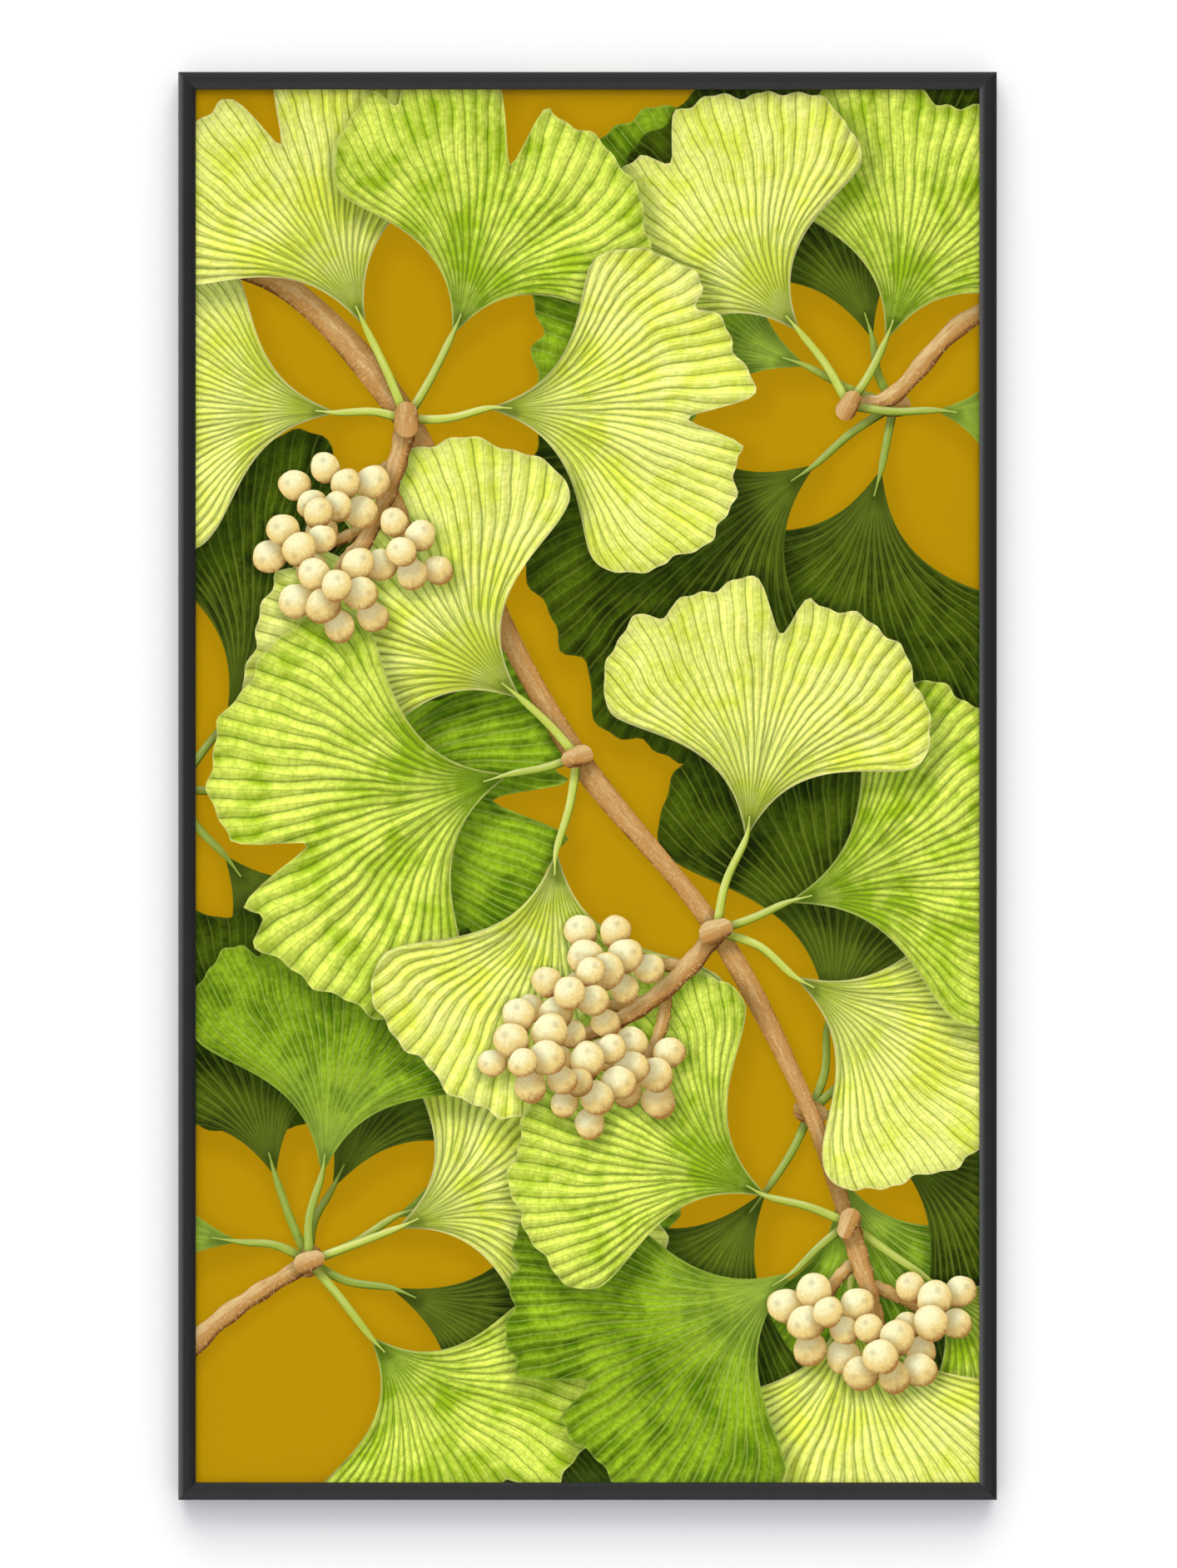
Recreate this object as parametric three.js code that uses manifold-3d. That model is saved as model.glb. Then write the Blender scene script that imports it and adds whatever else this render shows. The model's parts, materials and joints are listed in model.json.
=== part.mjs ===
// A framed print for a wall: a slim metal section frame round a 450 x 800 mm picture.
// Four mitred rails hold the glazing, the print and the backing board in their front
// channel. Pairs of L-shaped plates with set screws sit in a channel at the back of the
// rails and clamp the corners, bowed springs press the pack forwards, and a saw-tooth
// hanger bolted to the top rail carries the frame on one nail.
//
// Millimetres, +Z up. The picture faces -Y and the wall is the plane y = 0. The origin
// is where the nail leaves the wall, under the hanger's middle notch.

import * as THREE from "three";
import { mergeVertices } from "three/addons/utils/BufferGeometryUtils.js";
import Module from "manifold-3d";

const wasm = await Module();
wasm.setup();

// --- Driving dimensions -------------------------------------------------------------

const SIGHT_WIDTH = 450; // the picture that shows between the rails
const SIGHT_HEIGHT = 800;
const FACE = 10; // a rail's width, seen from the front
const DEPTH = 20; // a rail's depth, from its front to its back rim
const GAP = 0.3; // clearance between pieces that rest on each other
const PAD_HEIGHT = 3.2; // wall pads at the back
const HANG_DROP = 21; // from the frame's top edge down to the nail

// The rail's section: a crowned lip, a side wall, a web, and a slotted channel behind it.
const WALL = 1.3;
const CROWN_WIDTH = 4; // how far the curve reaches in from each edge of the face
const CROWN_DROP = 2; // how far back each edge of the face lies
const LIP_BACK = 3.2; // depth of the lip's underside
const WEB_FRONT = 14;
const WEB_THICKNESS = 1.2;
const RIM_THICKNESS = 1.2;
const SLOT_WIDTH = 3.4; // the slot in the back rim
const MITRE_GAP = 0.2; // each rail stops this much short of the mitre

// The pack that the front channel holds.
const PACK_MARGIN = 7; // how much wider and taller it is than the sight, on each side
const GLAZING_THICKNESS = 2;
const PRINT_THICKNESS = 0.4;
const BACKING_THICKNESS = 3;

// Corner hardware.
const PLATE_ARM = 42; // length of an L plate's arm
const PLATE_WIDTH = 6.6;
const THREADED_THICKNESS = 2;
const SHIM_THICKNESS = 0.6;
const SET_SCREW_RADIUS = 1.5;
const SET_SCREW_LENGTH = 3;
const SET_SCREW_SOCKET = 1.6; // across the hexagon's flats
const SET_SCREW_PLACES = [14, 32]; // from the frame's outer corner, along each arm
const SCREW_CLEARANCE = 0.3;

// Springs.
const SPRING_LENGTH = 60;
const SPRING_WIDTH = 14;
const SPRING_THICKNESS = 0.6;
const LONG_RAIL_SPRINGS = [-260, 0, 260]; // places along the rail, from its middle
const SHORT_RAIL_SPRINGS = [-120, 120];

// Hanger.
const HANGER_WIDTH = 56;
const HANGER_THICKNESS = 1.2;
const HANGER_SHOULDER = 9; // how far down the plate keeps its full width
const TOOTH_PITCH = 4;
const TOOTH_DEPTH = 1.8;
const SIDE_NOTCHES = 5; // on each side of the middle notch
const HANGER_SCREW_SPAN = 40;
const HANGER_SCREW_HEAD_RADIUS = 2.75;
const HANGER_SCREW_HEAD_HEIGHT = 1.2;
const NUT_LENGTH = 11;

const PAD_RADIUS = 4.5;

const ROUND_SEGMENTS = 20; // round a rod
const CROWN_SEGMENTS = 8; // across each curve of the crown
const BOW_SEGMENTS = 14; // along a spring
const OVERCUT = 1; // how far a cutter runs past the face it opens

// --- Worked-out places --------------------------------------------------------------

const OUTER_WIDTH = SIGHT_WIDTH + 2 * FACE;
const OUTER_HEIGHT = SIGHT_HEIGHT + 2 * FACE;
const PACK_WIDTH = SIGHT_WIDTH + 2 * PACK_MARGIN;
const PACK_HEIGHT = SIGHT_HEIGHT + 2 * PACK_MARGIN;
const TOP = HANG_DROP;
const BOTTOM = TOP - OUTER_HEIGHT;
const MIDDLE = (TOP + BOTTOM) / 2;
const PACK_BOTTOM = BOTTOM + WALL + GAP; // it stands on the bottom rail

const CHANNEL_CENTRE = FACE / 2; // the back channel's middle, in from the outer side
const CHANNEL_FRONT = WEB_FRONT + WEB_THICKNESS;
const CHANNEL_BACK = DEPTH - RIM_THICKNESS;

const GLAZING_FRONT = LIP_BACK + GAP;
const PRINT_FRONT = GLAZING_FRONT + GLAZING_THICKNESS + GAP;
const BACKING_FRONT = PRINT_FRONT + PRINT_THICKNESS + GAP;
const SPRING_FRONT = BACKING_FRONT + BACKING_THICKNESS + GAP;
const SHIM_FRONT = CHANNEL_FRONT + GAP;
const THREADED_FRONT = CHANNEL_BACK - GAP - THREADED_THICKNESS;
const HANGER_FRONT = DEPTH + GAP;
const HANGER_BACK = HANGER_FRONT + HANGER_THICKNESS;
const WALL_PLANE = DEPTH + GAP + PAD_HEIGHT;

// A depth behind the frame's front is this y.
const y = (depth) => depth - WALL_PLANE;

// --- Materials ----------------------------------------------------------------------

const finish = (color, roughness, metalness, more = {}) =>
  new THREE.MeshStandardMaterial({ color, roughness, metalness, ...more });

const MATERIALS = {
  anodised: finish(0x2b2b2c, 0.42, 0.6),
  glass: finish(0xf4f8f8, 0.03, 0, { transparent: true, opacity: 0.12 }),
  print: finish(0xb88e08, 0.7, 0),
  backing: finish(0x8a6a48, 0.85, 0),
  plate: finish(0xb9bcbf, 0.35, 0.9),
  screw: finish(0x9a9ea3, 0.3, 0.95),
  spring: finish(0xa7abb0, 0.3, 0.95),
  brass: finish(0xc2a35a, 0.35, 0.9),
  rubber: finish(0x1c1c1d, 0.9, 0),
};

// --- Shapes and booleans ------------------------------------------------------------

// A closed geometry as a solid that can be joined and cut.
function solid(geometry) {
  const bare = geometry.clone();
  bare.deleteAttribute("normal");
  bare.deleteAttribute("uv");
  const merged = mergeVertices(bare, 1e-4);
  return new wasm.Manifold(
    new wasm.Mesh({
      numProp: 3,
      vertProperties: merged.attributes.position.array,
      triVerts: new Uint32Array(merged.index.array),
    }),
  );
}

// A solid back as a geometry.
function geometryOf(made) {
  const mesh = made.getMesh();
  const geometry = new THREE.BufferGeometry();
  geometry.setAttribute(
    "position",
    new THREE.BufferAttribute(mesh.vertProperties, 3),
  );
  geometry.setIndex(new THREE.BufferAttribute(mesh.triVerts, 1));
  geometry.computeVertexNormals();
  return geometry;
}

// A flat outline drawn in x and z, made a plate from one depth to another.
function plate(shape, front, back) {
  const geometry = new THREE.ExtrudeGeometry(shape, {
    depth: back - front,
    bevelEnabled: false,
    curveSegments: ROUND_SEGMENTS / 2,
  });
  // Shape y becomes +z and the extrusion runs to -y, so it starts at the back.
  geometry.rotateX(Math.PI / 2);
  geometry.translate(0, y(back), 0);
  return geometry;
}

function roundHole(shape, x, z, radius) {
  const hole = new THREE.Path();
  hole.absarc(x, z, radius, 0, 2 * Math.PI);
  shape.holes.push(hole);
}

// A rod along y between two depths, at x and z.
function rod(x, z, radius, front, back, segments = ROUND_SEGMENTS) {
  const geometry = new THREE.CylinderGeometry(
    radius,
    radius,
    back - front,
    segments,
  );
  geometry.translate(x, y((front + back) / 2), z);
  return geometry;
}

// A sheet of the pack.
function packSheet(front, thickness) {
  const geometry = new THREE.BoxGeometry(PACK_WIDTH, thickness, PACK_HEIGHT);
  geometry.translate(0, y(front + thickness / 2), PACK_BOTTOM + PACK_HEIGHT / 2);
  return geometry;
}

// --- Rails --------------------------------------------------------------------------

// The section: x is the way in from the outer side, y is the depth behind the front.
function railSection() {
  const slotNear = CHANNEL_CENTRE - SLOT_WIDTH / 2;
  const slotFar = CHANNEL_CENTRE + SLOT_WIDTH / 2;
  const s = new THREE.Shape();
  s.moveTo(0, CROWN_DROP);
  s.quadraticCurveTo(CROWN_WIDTH / 2, 0, CROWN_WIDTH, 0);
  s.lineTo(FACE - CROWN_WIDTH, 0);
  s.quadraticCurveTo(FACE - CROWN_WIDTH / 2, 0, FACE, CROWN_DROP);
  s.lineTo(FACE, LIP_BACK);
  s.lineTo(WALL, LIP_BACK);
  s.lineTo(WALL, WEB_FRONT);
  s.lineTo(FACE, WEB_FRONT);
  s.lineTo(FACE, DEPTH);
  s.lineTo(slotFar, DEPTH);
  s.lineTo(slotFar, CHANNEL_BACK);
  s.lineTo(FACE - WALL, CHANNEL_BACK);
  s.lineTo(FACE - WALL, CHANNEL_FRONT);
  s.lineTo(WALL, CHANNEL_FRONT);
  s.lineTo(WALL, CHANNEL_BACK);
  s.lineTo(slotNear, CHANNEL_BACK);
  s.lineTo(slotNear, DEPTH);
  s.lineTo(0, DEPTH);
  s.closePath();
  return s;
}

// A rail of a given outer length, along +z from 0, with a mitre at each end: a point
// that lies further in from the outer side stops that much earlier.
function rail(length) {
  const geometry = new THREE.ExtrudeGeometry(railSection(), {
    depth: length,
    bevelEnabled: false,
    curveSegments: CROWN_SEGMENTS,
  });
  const p = geometry.attributes.position;
  for (let i = 0; i < p.count; i++) {
    const short = p.getX(i) + MITRE_GAP;
    p.setZ(i, p.getZ(i) < length / 2 ? short : length - short);
  }
  geometry.translate(0, 0, -length / 2);
  return geometry;
}

const frame = new THREE.Group();
frame.name = "framed_print";

function add(name, geometry, material, parent = frame) {
  const mesh = new THREE.Mesh(geometry, MATERIALS[material]);
  mesh.name = name;
  parent.add(mesh);
  return mesh;
}

// Each rail is turned about y, so that its inner side faces the picture.
function addRail(name, length, x, z, turn) {
  const mesh = add(name, rail(length), "anodised");
  mesh.rotation.y = turn;
  mesh.position.set(x, y(0), z);
}

addRail("rail_left", OUTER_HEIGHT, -OUTER_WIDTH / 2, MIDDLE, 0);
addRail("rail_top", OUTER_WIDTH, 0, TOP, Math.PI / 2);
addRail("rail_right", OUTER_HEIGHT, OUTER_WIDTH / 2, MIDDLE, Math.PI);
addRail("rail_bottom", OUTER_WIDTH, 0, BOTTOM, -Math.PI / 2);

// --- The pack -----------------------------------------------------------------------

add("glazing", packSheet(GLAZING_FRONT, GLAZING_THICKNESS), "glass");
add("print", packSheet(PRINT_FRONT, PRINT_THICKNESS), "print");
add("backing_board", packSheet(BACKING_FRONT, BACKING_THICKNESS), "backing");

// --- Corners ------------------------------------------------------------------------

// Which way x and z lead inwards from each corner of the frame.
const CORNERS = {
  bottom_left: [1, 1],
  bottom_right: [-1, 1],
  top_left: [1, -1],
  top_right: [-1, -1],
};

// A point so far in from a corner of the frame.
function cornerPoint([inX, inZ], alongX, alongZ) {
  return [
    inX * (alongX - OUTER_WIDTH / 2),
    MIDDLE + inZ * (alongZ - OUTER_HEIGHT / 2),
  ];
}

// Places of a corner's set screws: two on each arm.
function screwPlaces(corner) {
  return [
    ...SET_SCREW_PLACES.map((at) => cornerPoint(corner, at, CHANNEL_CENTRE)),
    ...SET_SCREW_PLACES.map((at) => cornerPoint(corner, CHANNEL_CENTRE, at)),
  ];
}

// The L that both of a corner's plates share.
function cornerOutline(corner) {
  const near = CHANNEL_CENTRE - PLATE_WIDTH / 2;
  const far = CHANNEL_CENTRE + PLATE_WIDTH / 2;
  const points = [
    [near, near],
    [PLATE_ARM, near],
    [PLATE_ARM, far],
    [far, far],
    [far, PLATE_ARM],
    [near, PLATE_ARM],
  ].map(([a, b]) => new THREE.Vector2(...cornerPoint(corner, a, b)));
  return new THREE.Shape(points);
}

function threadedPlate(corner) {
  const outline = cornerOutline(corner);
  for (const [x, z] of screwPlaces(corner))
    roundHole(outline, x, z, SET_SCREW_RADIUS + SCREW_CLEARANCE);
  return plate(outline, THREADED_FRONT, THREADED_FRONT + THREADED_THICKNESS);
}

// A set screw with a hexagon socket in its back end.
function setScrew(x, z) {
  const front = THREADED_FRONT - SCREW_CLEARANCE / 2;
  const back = front + SET_SCREW_LENGTH;
  const body = rod(x, z, SET_SCREW_RADIUS, front, back);
  const socket = rod(
    x,
    z,
    SET_SCREW_SOCKET / Math.sqrt(3),
    (front + back) / 2,
    back + OVERCUT,
    6,
  );
  return geometryOf(solid(body).subtract(solid(socket)));
}

for (const [name, corner] of Object.entries(CORNERS)) {
  add(`corner_plate_${name}`, threadedPlate(corner), "plate");
  add(
    `corner_shim_${name}`,
    plate(cornerOutline(corner), SHIM_FRONT, SHIM_FRONT + SHIM_THICKNESS),
    "plate",
  );
  screwPlaces(corner).forEach(([x, z], i) =>
    add(`set_screw_${name}_${i + 1}`, setScrew(x, z), "screw"),
  );
  const [x, z] = cornerPoint(corner, CHANNEL_CENTRE, CHANNEL_CENTRE);
  add(
    `wall_pad_${name}`,
    rod(x, z, PAD_RADIUS, DEPTH + GAP, WALL_PLANE),
    "rubber",
  );
}

// --- Springs ------------------------------------------------------------------------

// A bowed strip: its ends stand on the backing board and its middle presses on the web.
// The outline is drawn along the rail (x) and in depth (y), and extruded across.
function spring() {
  const rise = WEB_FRONT - GAP - SPRING_FRONT - SPRING_THICKNESS;
  const half = SPRING_LENGTH / 2;
  const bow = new THREE.Shape();
  bow.moveTo(-half, 0);
  bow.quadraticCurveTo(0, 2 * rise, half, 0);
  bow.lineTo(half, SPRING_THICKNESS);
  bow.quadraticCurveTo(0, 2 * rise + SPRING_THICKNESS, -half, SPRING_THICKNESS);
  bow.closePath();
  const geometry = new THREE.ExtrudeGeometry(bow, {
    depth: SPRING_WIDTH,
    bevelEnabled: false,
    curveSegments: BOW_SEGMENTS,
  });
  geometry.translate(0, 0, -SPRING_WIDTH);
  return geometry;
}

const SPRING_OUTSET = WALL + GAP; // from the rail's outer side to the spring

// Springs along one rail: x along it is `at`, and turning about y faces them inwards.
function addSprings(name, places, x, z, turn) {
  const group = new THREE.Group();
  group.rotation.y = turn;
  group.position.set(x, y(SPRING_FRONT), z);
  frame.add(group);
  places.forEach((at, i) => {
    const mesh = add(`spring_${name}_${i + 1}`, spring(), "spring", group);
    mesh.position.set(at, 0, -SPRING_OUTSET);
  });
}

addSprings("top", SHORT_RAIL_SPRINGS, 0, TOP, 0);
addSprings("bottom", SHORT_RAIL_SPRINGS, 0, BOTTOM, Math.PI);
addSprings("left", LONG_RAIL_SPRINGS, -OUTER_WIDTH / 2, MIDDLE, -Math.PI / 2);
addSprings("right", LONG_RAIL_SPRINGS, OUTER_WIDTH / 2, MIDDLE, Math.PI / 2);

// --- Hanger -------------------------------------------------------------------------

const HANGER_SCREWS = [-HANGER_SCREW_SPAN / 2, HANGER_SCREW_SPAN / 2];
const HANGER_SCREW_HEIGHT = TOP - CHANNEL_CENTRE;

// The plate, with a row of teeth along its foot. The middle notch is at x = 0, and its
// top is at z = 0, where the nail bears.
function hangerPlate() {
  const top = TOP - GAP;
  const shoulder = TOP - HANGER_SHOULDER;
  const s = new THREE.Shape();
  s.moveTo(-HANGER_WIDTH / 2, top);
  s.lineTo(HANGER_WIDTH / 2, top);
  s.lineTo(HANGER_WIDTH / 2, shoulder);
  for (let i = SIDE_NOTCHES; i >= -SIDE_NOTCHES; i--) {
    s.lineTo((i + 0.5) * TOOTH_PITCH, -TOOTH_DEPTH);
    s.lineTo(i * TOOTH_PITCH, 0);
  }
  s.lineTo(-(SIDE_NOTCHES + 0.5) * TOOTH_PITCH, -TOOTH_DEPTH);
  s.lineTo(-HANGER_WIDTH / 2, shoulder);
  s.closePath();
  for (const x of HANGER_SCREWS)
    roundHole(
      s,
      x,
      HANGER_SCREW_HEIGHT,
      SET_SCREW_RADIUS + SCREW_CLEARANCE,
    );
  return plate(s, HANGER_FRONT, HANGER_BACK);
}

// A pan-head screw through the plate and the slot.
function hangerScrew(x) {
  const head = HANGER_BACK + GAP;
  const shank = rod(
    x,
    HANGER_SCREW_HEIGHT,
    SET_SCREW_RADIUS,
    CHANNEL_FRONT + 2 * GAP,
    head + GAP,
  );
  const pan = rod(
    x,
    HANGER_SCREW_HEIGHT,
    HANGER_SCREW_HEAD_RADIUS,
    head,
    head + HANGER_SCREW_HEAD_HEIGHT,
  );
  return geometryOf(solid(shank).add(solid(pan)));
}

// The nut that slides in the channel and takes the screw.
function slidingNut(x) {
  const outline = new THREE.Shape();
  const low = HANGER_SCREW_HEIGHT - PLATE_WIDTH / 2;
  outline.moveTo(x - NUT_LENGTH / 2, low);
  outline.lineTo(x + NUT_LENGTH / 2, low);
  outline.lineTo(x + NUT_LENGTH / 2, low + PLATE_WIDTH);
  outline.lineTo(x - NUT_LENGTH / 2, low + PLATE_WIDTH);
  outline.closePath();
  roundHole(
    outline,
    x,
    HANGER_SCREW_HEIGHT,
    SET_SCREW_RADIUS + SCREW_CLEARANCE,
  );
  return plate(outline, THREADED_FRONT, THREADED_FRONT + THREADED_THICKNESS);
}

add("hanger_plate", hangerPlate(), "brass");
HANGER_SCREWS.forEach((x, i) => {
  const side = ["left", "right"][i];
  add(`hanger_screw_${side}`, hangerScrew(x), "screw");
  add(`sliding_nut_${side}`, slidingNut(x), "plate");
});

export default frame;
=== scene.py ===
"""A framed botanical print on a wall, dressed for display.

A slim, dark anodised section frame holds glass, a printed sheet and a hardboard back.
Its corner plates, springs, saw-tooth hanger and wall pads are finished as carefully as
its front. Lengths are in metres, except in the printed design, which is laid out in
millimetres on the sheet.
"""

from __future__ import annotations

import json
import logging
import math
from dataclasses import dataclass, field
from enum import Enum
from typing import Callable, Iterable, Sequence, Union

import bmesh
import bpy
import numpy as np
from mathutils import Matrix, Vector
from mathutils.geometry import delaunay_2d_cdt

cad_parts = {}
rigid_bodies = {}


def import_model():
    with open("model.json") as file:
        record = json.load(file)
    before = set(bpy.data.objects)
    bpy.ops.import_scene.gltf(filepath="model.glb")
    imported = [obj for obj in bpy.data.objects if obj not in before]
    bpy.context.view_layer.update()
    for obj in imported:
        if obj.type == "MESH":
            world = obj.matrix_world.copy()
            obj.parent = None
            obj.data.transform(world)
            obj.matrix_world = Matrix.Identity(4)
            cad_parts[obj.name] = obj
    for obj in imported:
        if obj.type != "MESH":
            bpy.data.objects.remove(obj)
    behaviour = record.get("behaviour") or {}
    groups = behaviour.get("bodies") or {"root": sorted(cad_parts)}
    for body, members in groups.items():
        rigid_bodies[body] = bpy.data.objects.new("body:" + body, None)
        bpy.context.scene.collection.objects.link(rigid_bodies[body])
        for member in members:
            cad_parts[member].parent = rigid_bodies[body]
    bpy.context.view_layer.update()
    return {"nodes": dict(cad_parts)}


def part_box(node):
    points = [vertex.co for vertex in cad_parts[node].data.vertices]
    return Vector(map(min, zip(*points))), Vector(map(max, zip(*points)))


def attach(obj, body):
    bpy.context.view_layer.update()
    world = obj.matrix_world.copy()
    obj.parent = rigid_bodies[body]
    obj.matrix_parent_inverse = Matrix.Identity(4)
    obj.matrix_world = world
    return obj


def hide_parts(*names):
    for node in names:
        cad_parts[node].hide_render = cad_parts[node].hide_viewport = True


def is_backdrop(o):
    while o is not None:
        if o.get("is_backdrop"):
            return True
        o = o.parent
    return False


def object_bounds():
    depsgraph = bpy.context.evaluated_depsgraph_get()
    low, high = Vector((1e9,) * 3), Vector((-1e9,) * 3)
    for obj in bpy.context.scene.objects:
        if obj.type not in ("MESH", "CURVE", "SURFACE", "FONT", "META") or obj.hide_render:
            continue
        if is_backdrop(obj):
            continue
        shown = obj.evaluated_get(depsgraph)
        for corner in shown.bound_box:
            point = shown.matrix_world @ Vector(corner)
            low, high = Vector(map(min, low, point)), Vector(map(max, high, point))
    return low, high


LOG = logging.getLogger("framed_print")
MM = 0.001
BODY = "root"

Point = tuple[float, float]
Span = tuple[float, float]
Triple = tuple[float, float, float]
Points = np.ndarray
Draw = np.random.Generator
Colour = tuple[float, float, float, float]
Piece = bpy.types.Object
Material = bpy.types.Material
Socket = bpy.types.NodeSocket
Source = Union["Value", Socket, float, tuple, str, list]
Inputs = dict[Union[int, str], Source]


# --- Node sheets ---


def shade_of(*display: int) -> Colour:
    """Turns an eight-bit display colour into the linear one that a shader takes."""
    parts = [part / 255 for part in display]
    return tuple(c / 12.92 if c <= 0.04045 else ((c + 0.055) / 1.055) ** 2.4 for c in parts) + (1.0,)


def shades_of(*colours: tuple[int, int, int]) -> tuple[Colour, ...]:
    """Turns several eight-bit display colours into linear ones."""
    return tuple(shade_of(*colour) for colour in colours)


def scaled(colour: Colour, factor: float) -> Colour:
    """Makes a colour lighter or darker by a factor."""
    return tuple(factor * part for part in colour[:3]) + (1.0,)


def operation(name: str, swapped: bool = False) -> Callable[..., Value]:
    """Makes a method that adds a Math node.

    Args:
        name: The node's operation.
        swapped: Whether the value stands after the other number.

    Returns:
        The method. It takes the other number, if there is one, and gives the result.
    """

    def method(value: Value, *others: Source) -> Value:
        """Adds the node and gives its result."""
        sources = (*others, value) if swapped else (value, *others)
        return value.sheet.math(name, *sources)

    return method


@dataclass(frozen=True, eq=False)
class Value:
    """A node's output. It takes part in sums, each of which adds a Math node."""

    sheet: NodeSheet
    socket: Socket

    __add__ = __radd__ = operation("ADD")
    __sub__ = operation("SUBTRACT")
    __rsub__ = operation("SUBTRACT", swapped=True)
    __mul__ = __rmul__ = operation("MULTIPLY")
    __truediv__ = operation("DIVIDE")
    __pow__ = operation("POWER")
    __abs__ = operation("ABSOLUTE")
    at_least = operation("MAXIMUM")
    at_most = operation("MINIMUM")
    root = operation("SQRT")
    sine = operation("SINE")
    fraction = operation("FRACT")
    angle_over = operation("ARCTAN2")

    def clamped(self) -> Value:
        """Has the value's own Math node keep it between 0 and 1."""
        self.socket.node.use_clamp = True
        return self

    def dome(self, least: float = 0) -> Value:
        """Gives a round dome's height where the squared distance is this value."""
        return (1 - self).at_least(least).root()


@dataclass(frozen=True)
class Texture:
    """How fine a noise is."""

    scale: float
    detail: float = 3  # octaves
    rough: float = 0.55  # how strong the fine octaves are
    stretch: Triple = (1, 1, 1)  # how much finer it is along each axis


class NodeSheet:
    """Wires the nodes of one tree, with numbers, sockets and values used alike."""

    def __init__(self, tree: bpy.types.NodeTree) -> None:
        """Starts on an empty tree."""
        self.tree = tree
        tree.nodes.clear()

    def node(self, kind: str, sources: Inputs | None = None, **settings: object) -> bpy.types.Node:
        """Adds a node.

        Args:
            kind: The node's type name.
            sources: What its inputs take.
            **settings: Properties to set on it first.

        Returns:
            The new node.
        """
        made = self.tree.nodes.new(kind)
        for name, setting in settings.items():
            setattr(made, name, setting)
        for key, source in (sources or {}).items():
            self.feed(made.inputs[key], source)
        return made

    def feed(self, socket: Socket, source: Source) -> None:
        """Gives an input its link or its number.

        Args:
            socket: The input.
            source: A value, an output socket, a list of them, or a plain number, colour or name.
        """
        if isinstance(source, Value):
            source = source.socket
        if isinstance(source, Socket):
            self.tree.links.new(source, socket)
        elif isinstance(source, list):
            for part in source:
                self.feed(socket, part)
        else:
            socket.default_value = source

    def value(self, kind: str, sources: Inputs, output: int | str = 0, **settings: object) -> Value:
        """Adds a node and gives one of its outputs."""
        return Value(self, self.node(kind, sources, **settings).outputs[output])

    def math(self, name: str, *sources: Source) -> Value:
        """Adds a Math node."""
        return self.value("ShaderNodeMath", dict(enumerate(sources)), operation=name)

    def vector(self, x: Source, y: Source, z: Source) -> Value:
        """Joins three values into a vector, or into a colour."""
        return self.value("ShaderNodeCombineXYZ", {0: x, 1: y, 2: z})

    def parts(self, vector: Source) -> tuple[Value, ...]:
        """Splits a vector into its three values."""
        made = self.node("ShaderNodeSeparateXYZ", {0: vector})
        return tuple(Value(self, output) for output in made.outputs)


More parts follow.
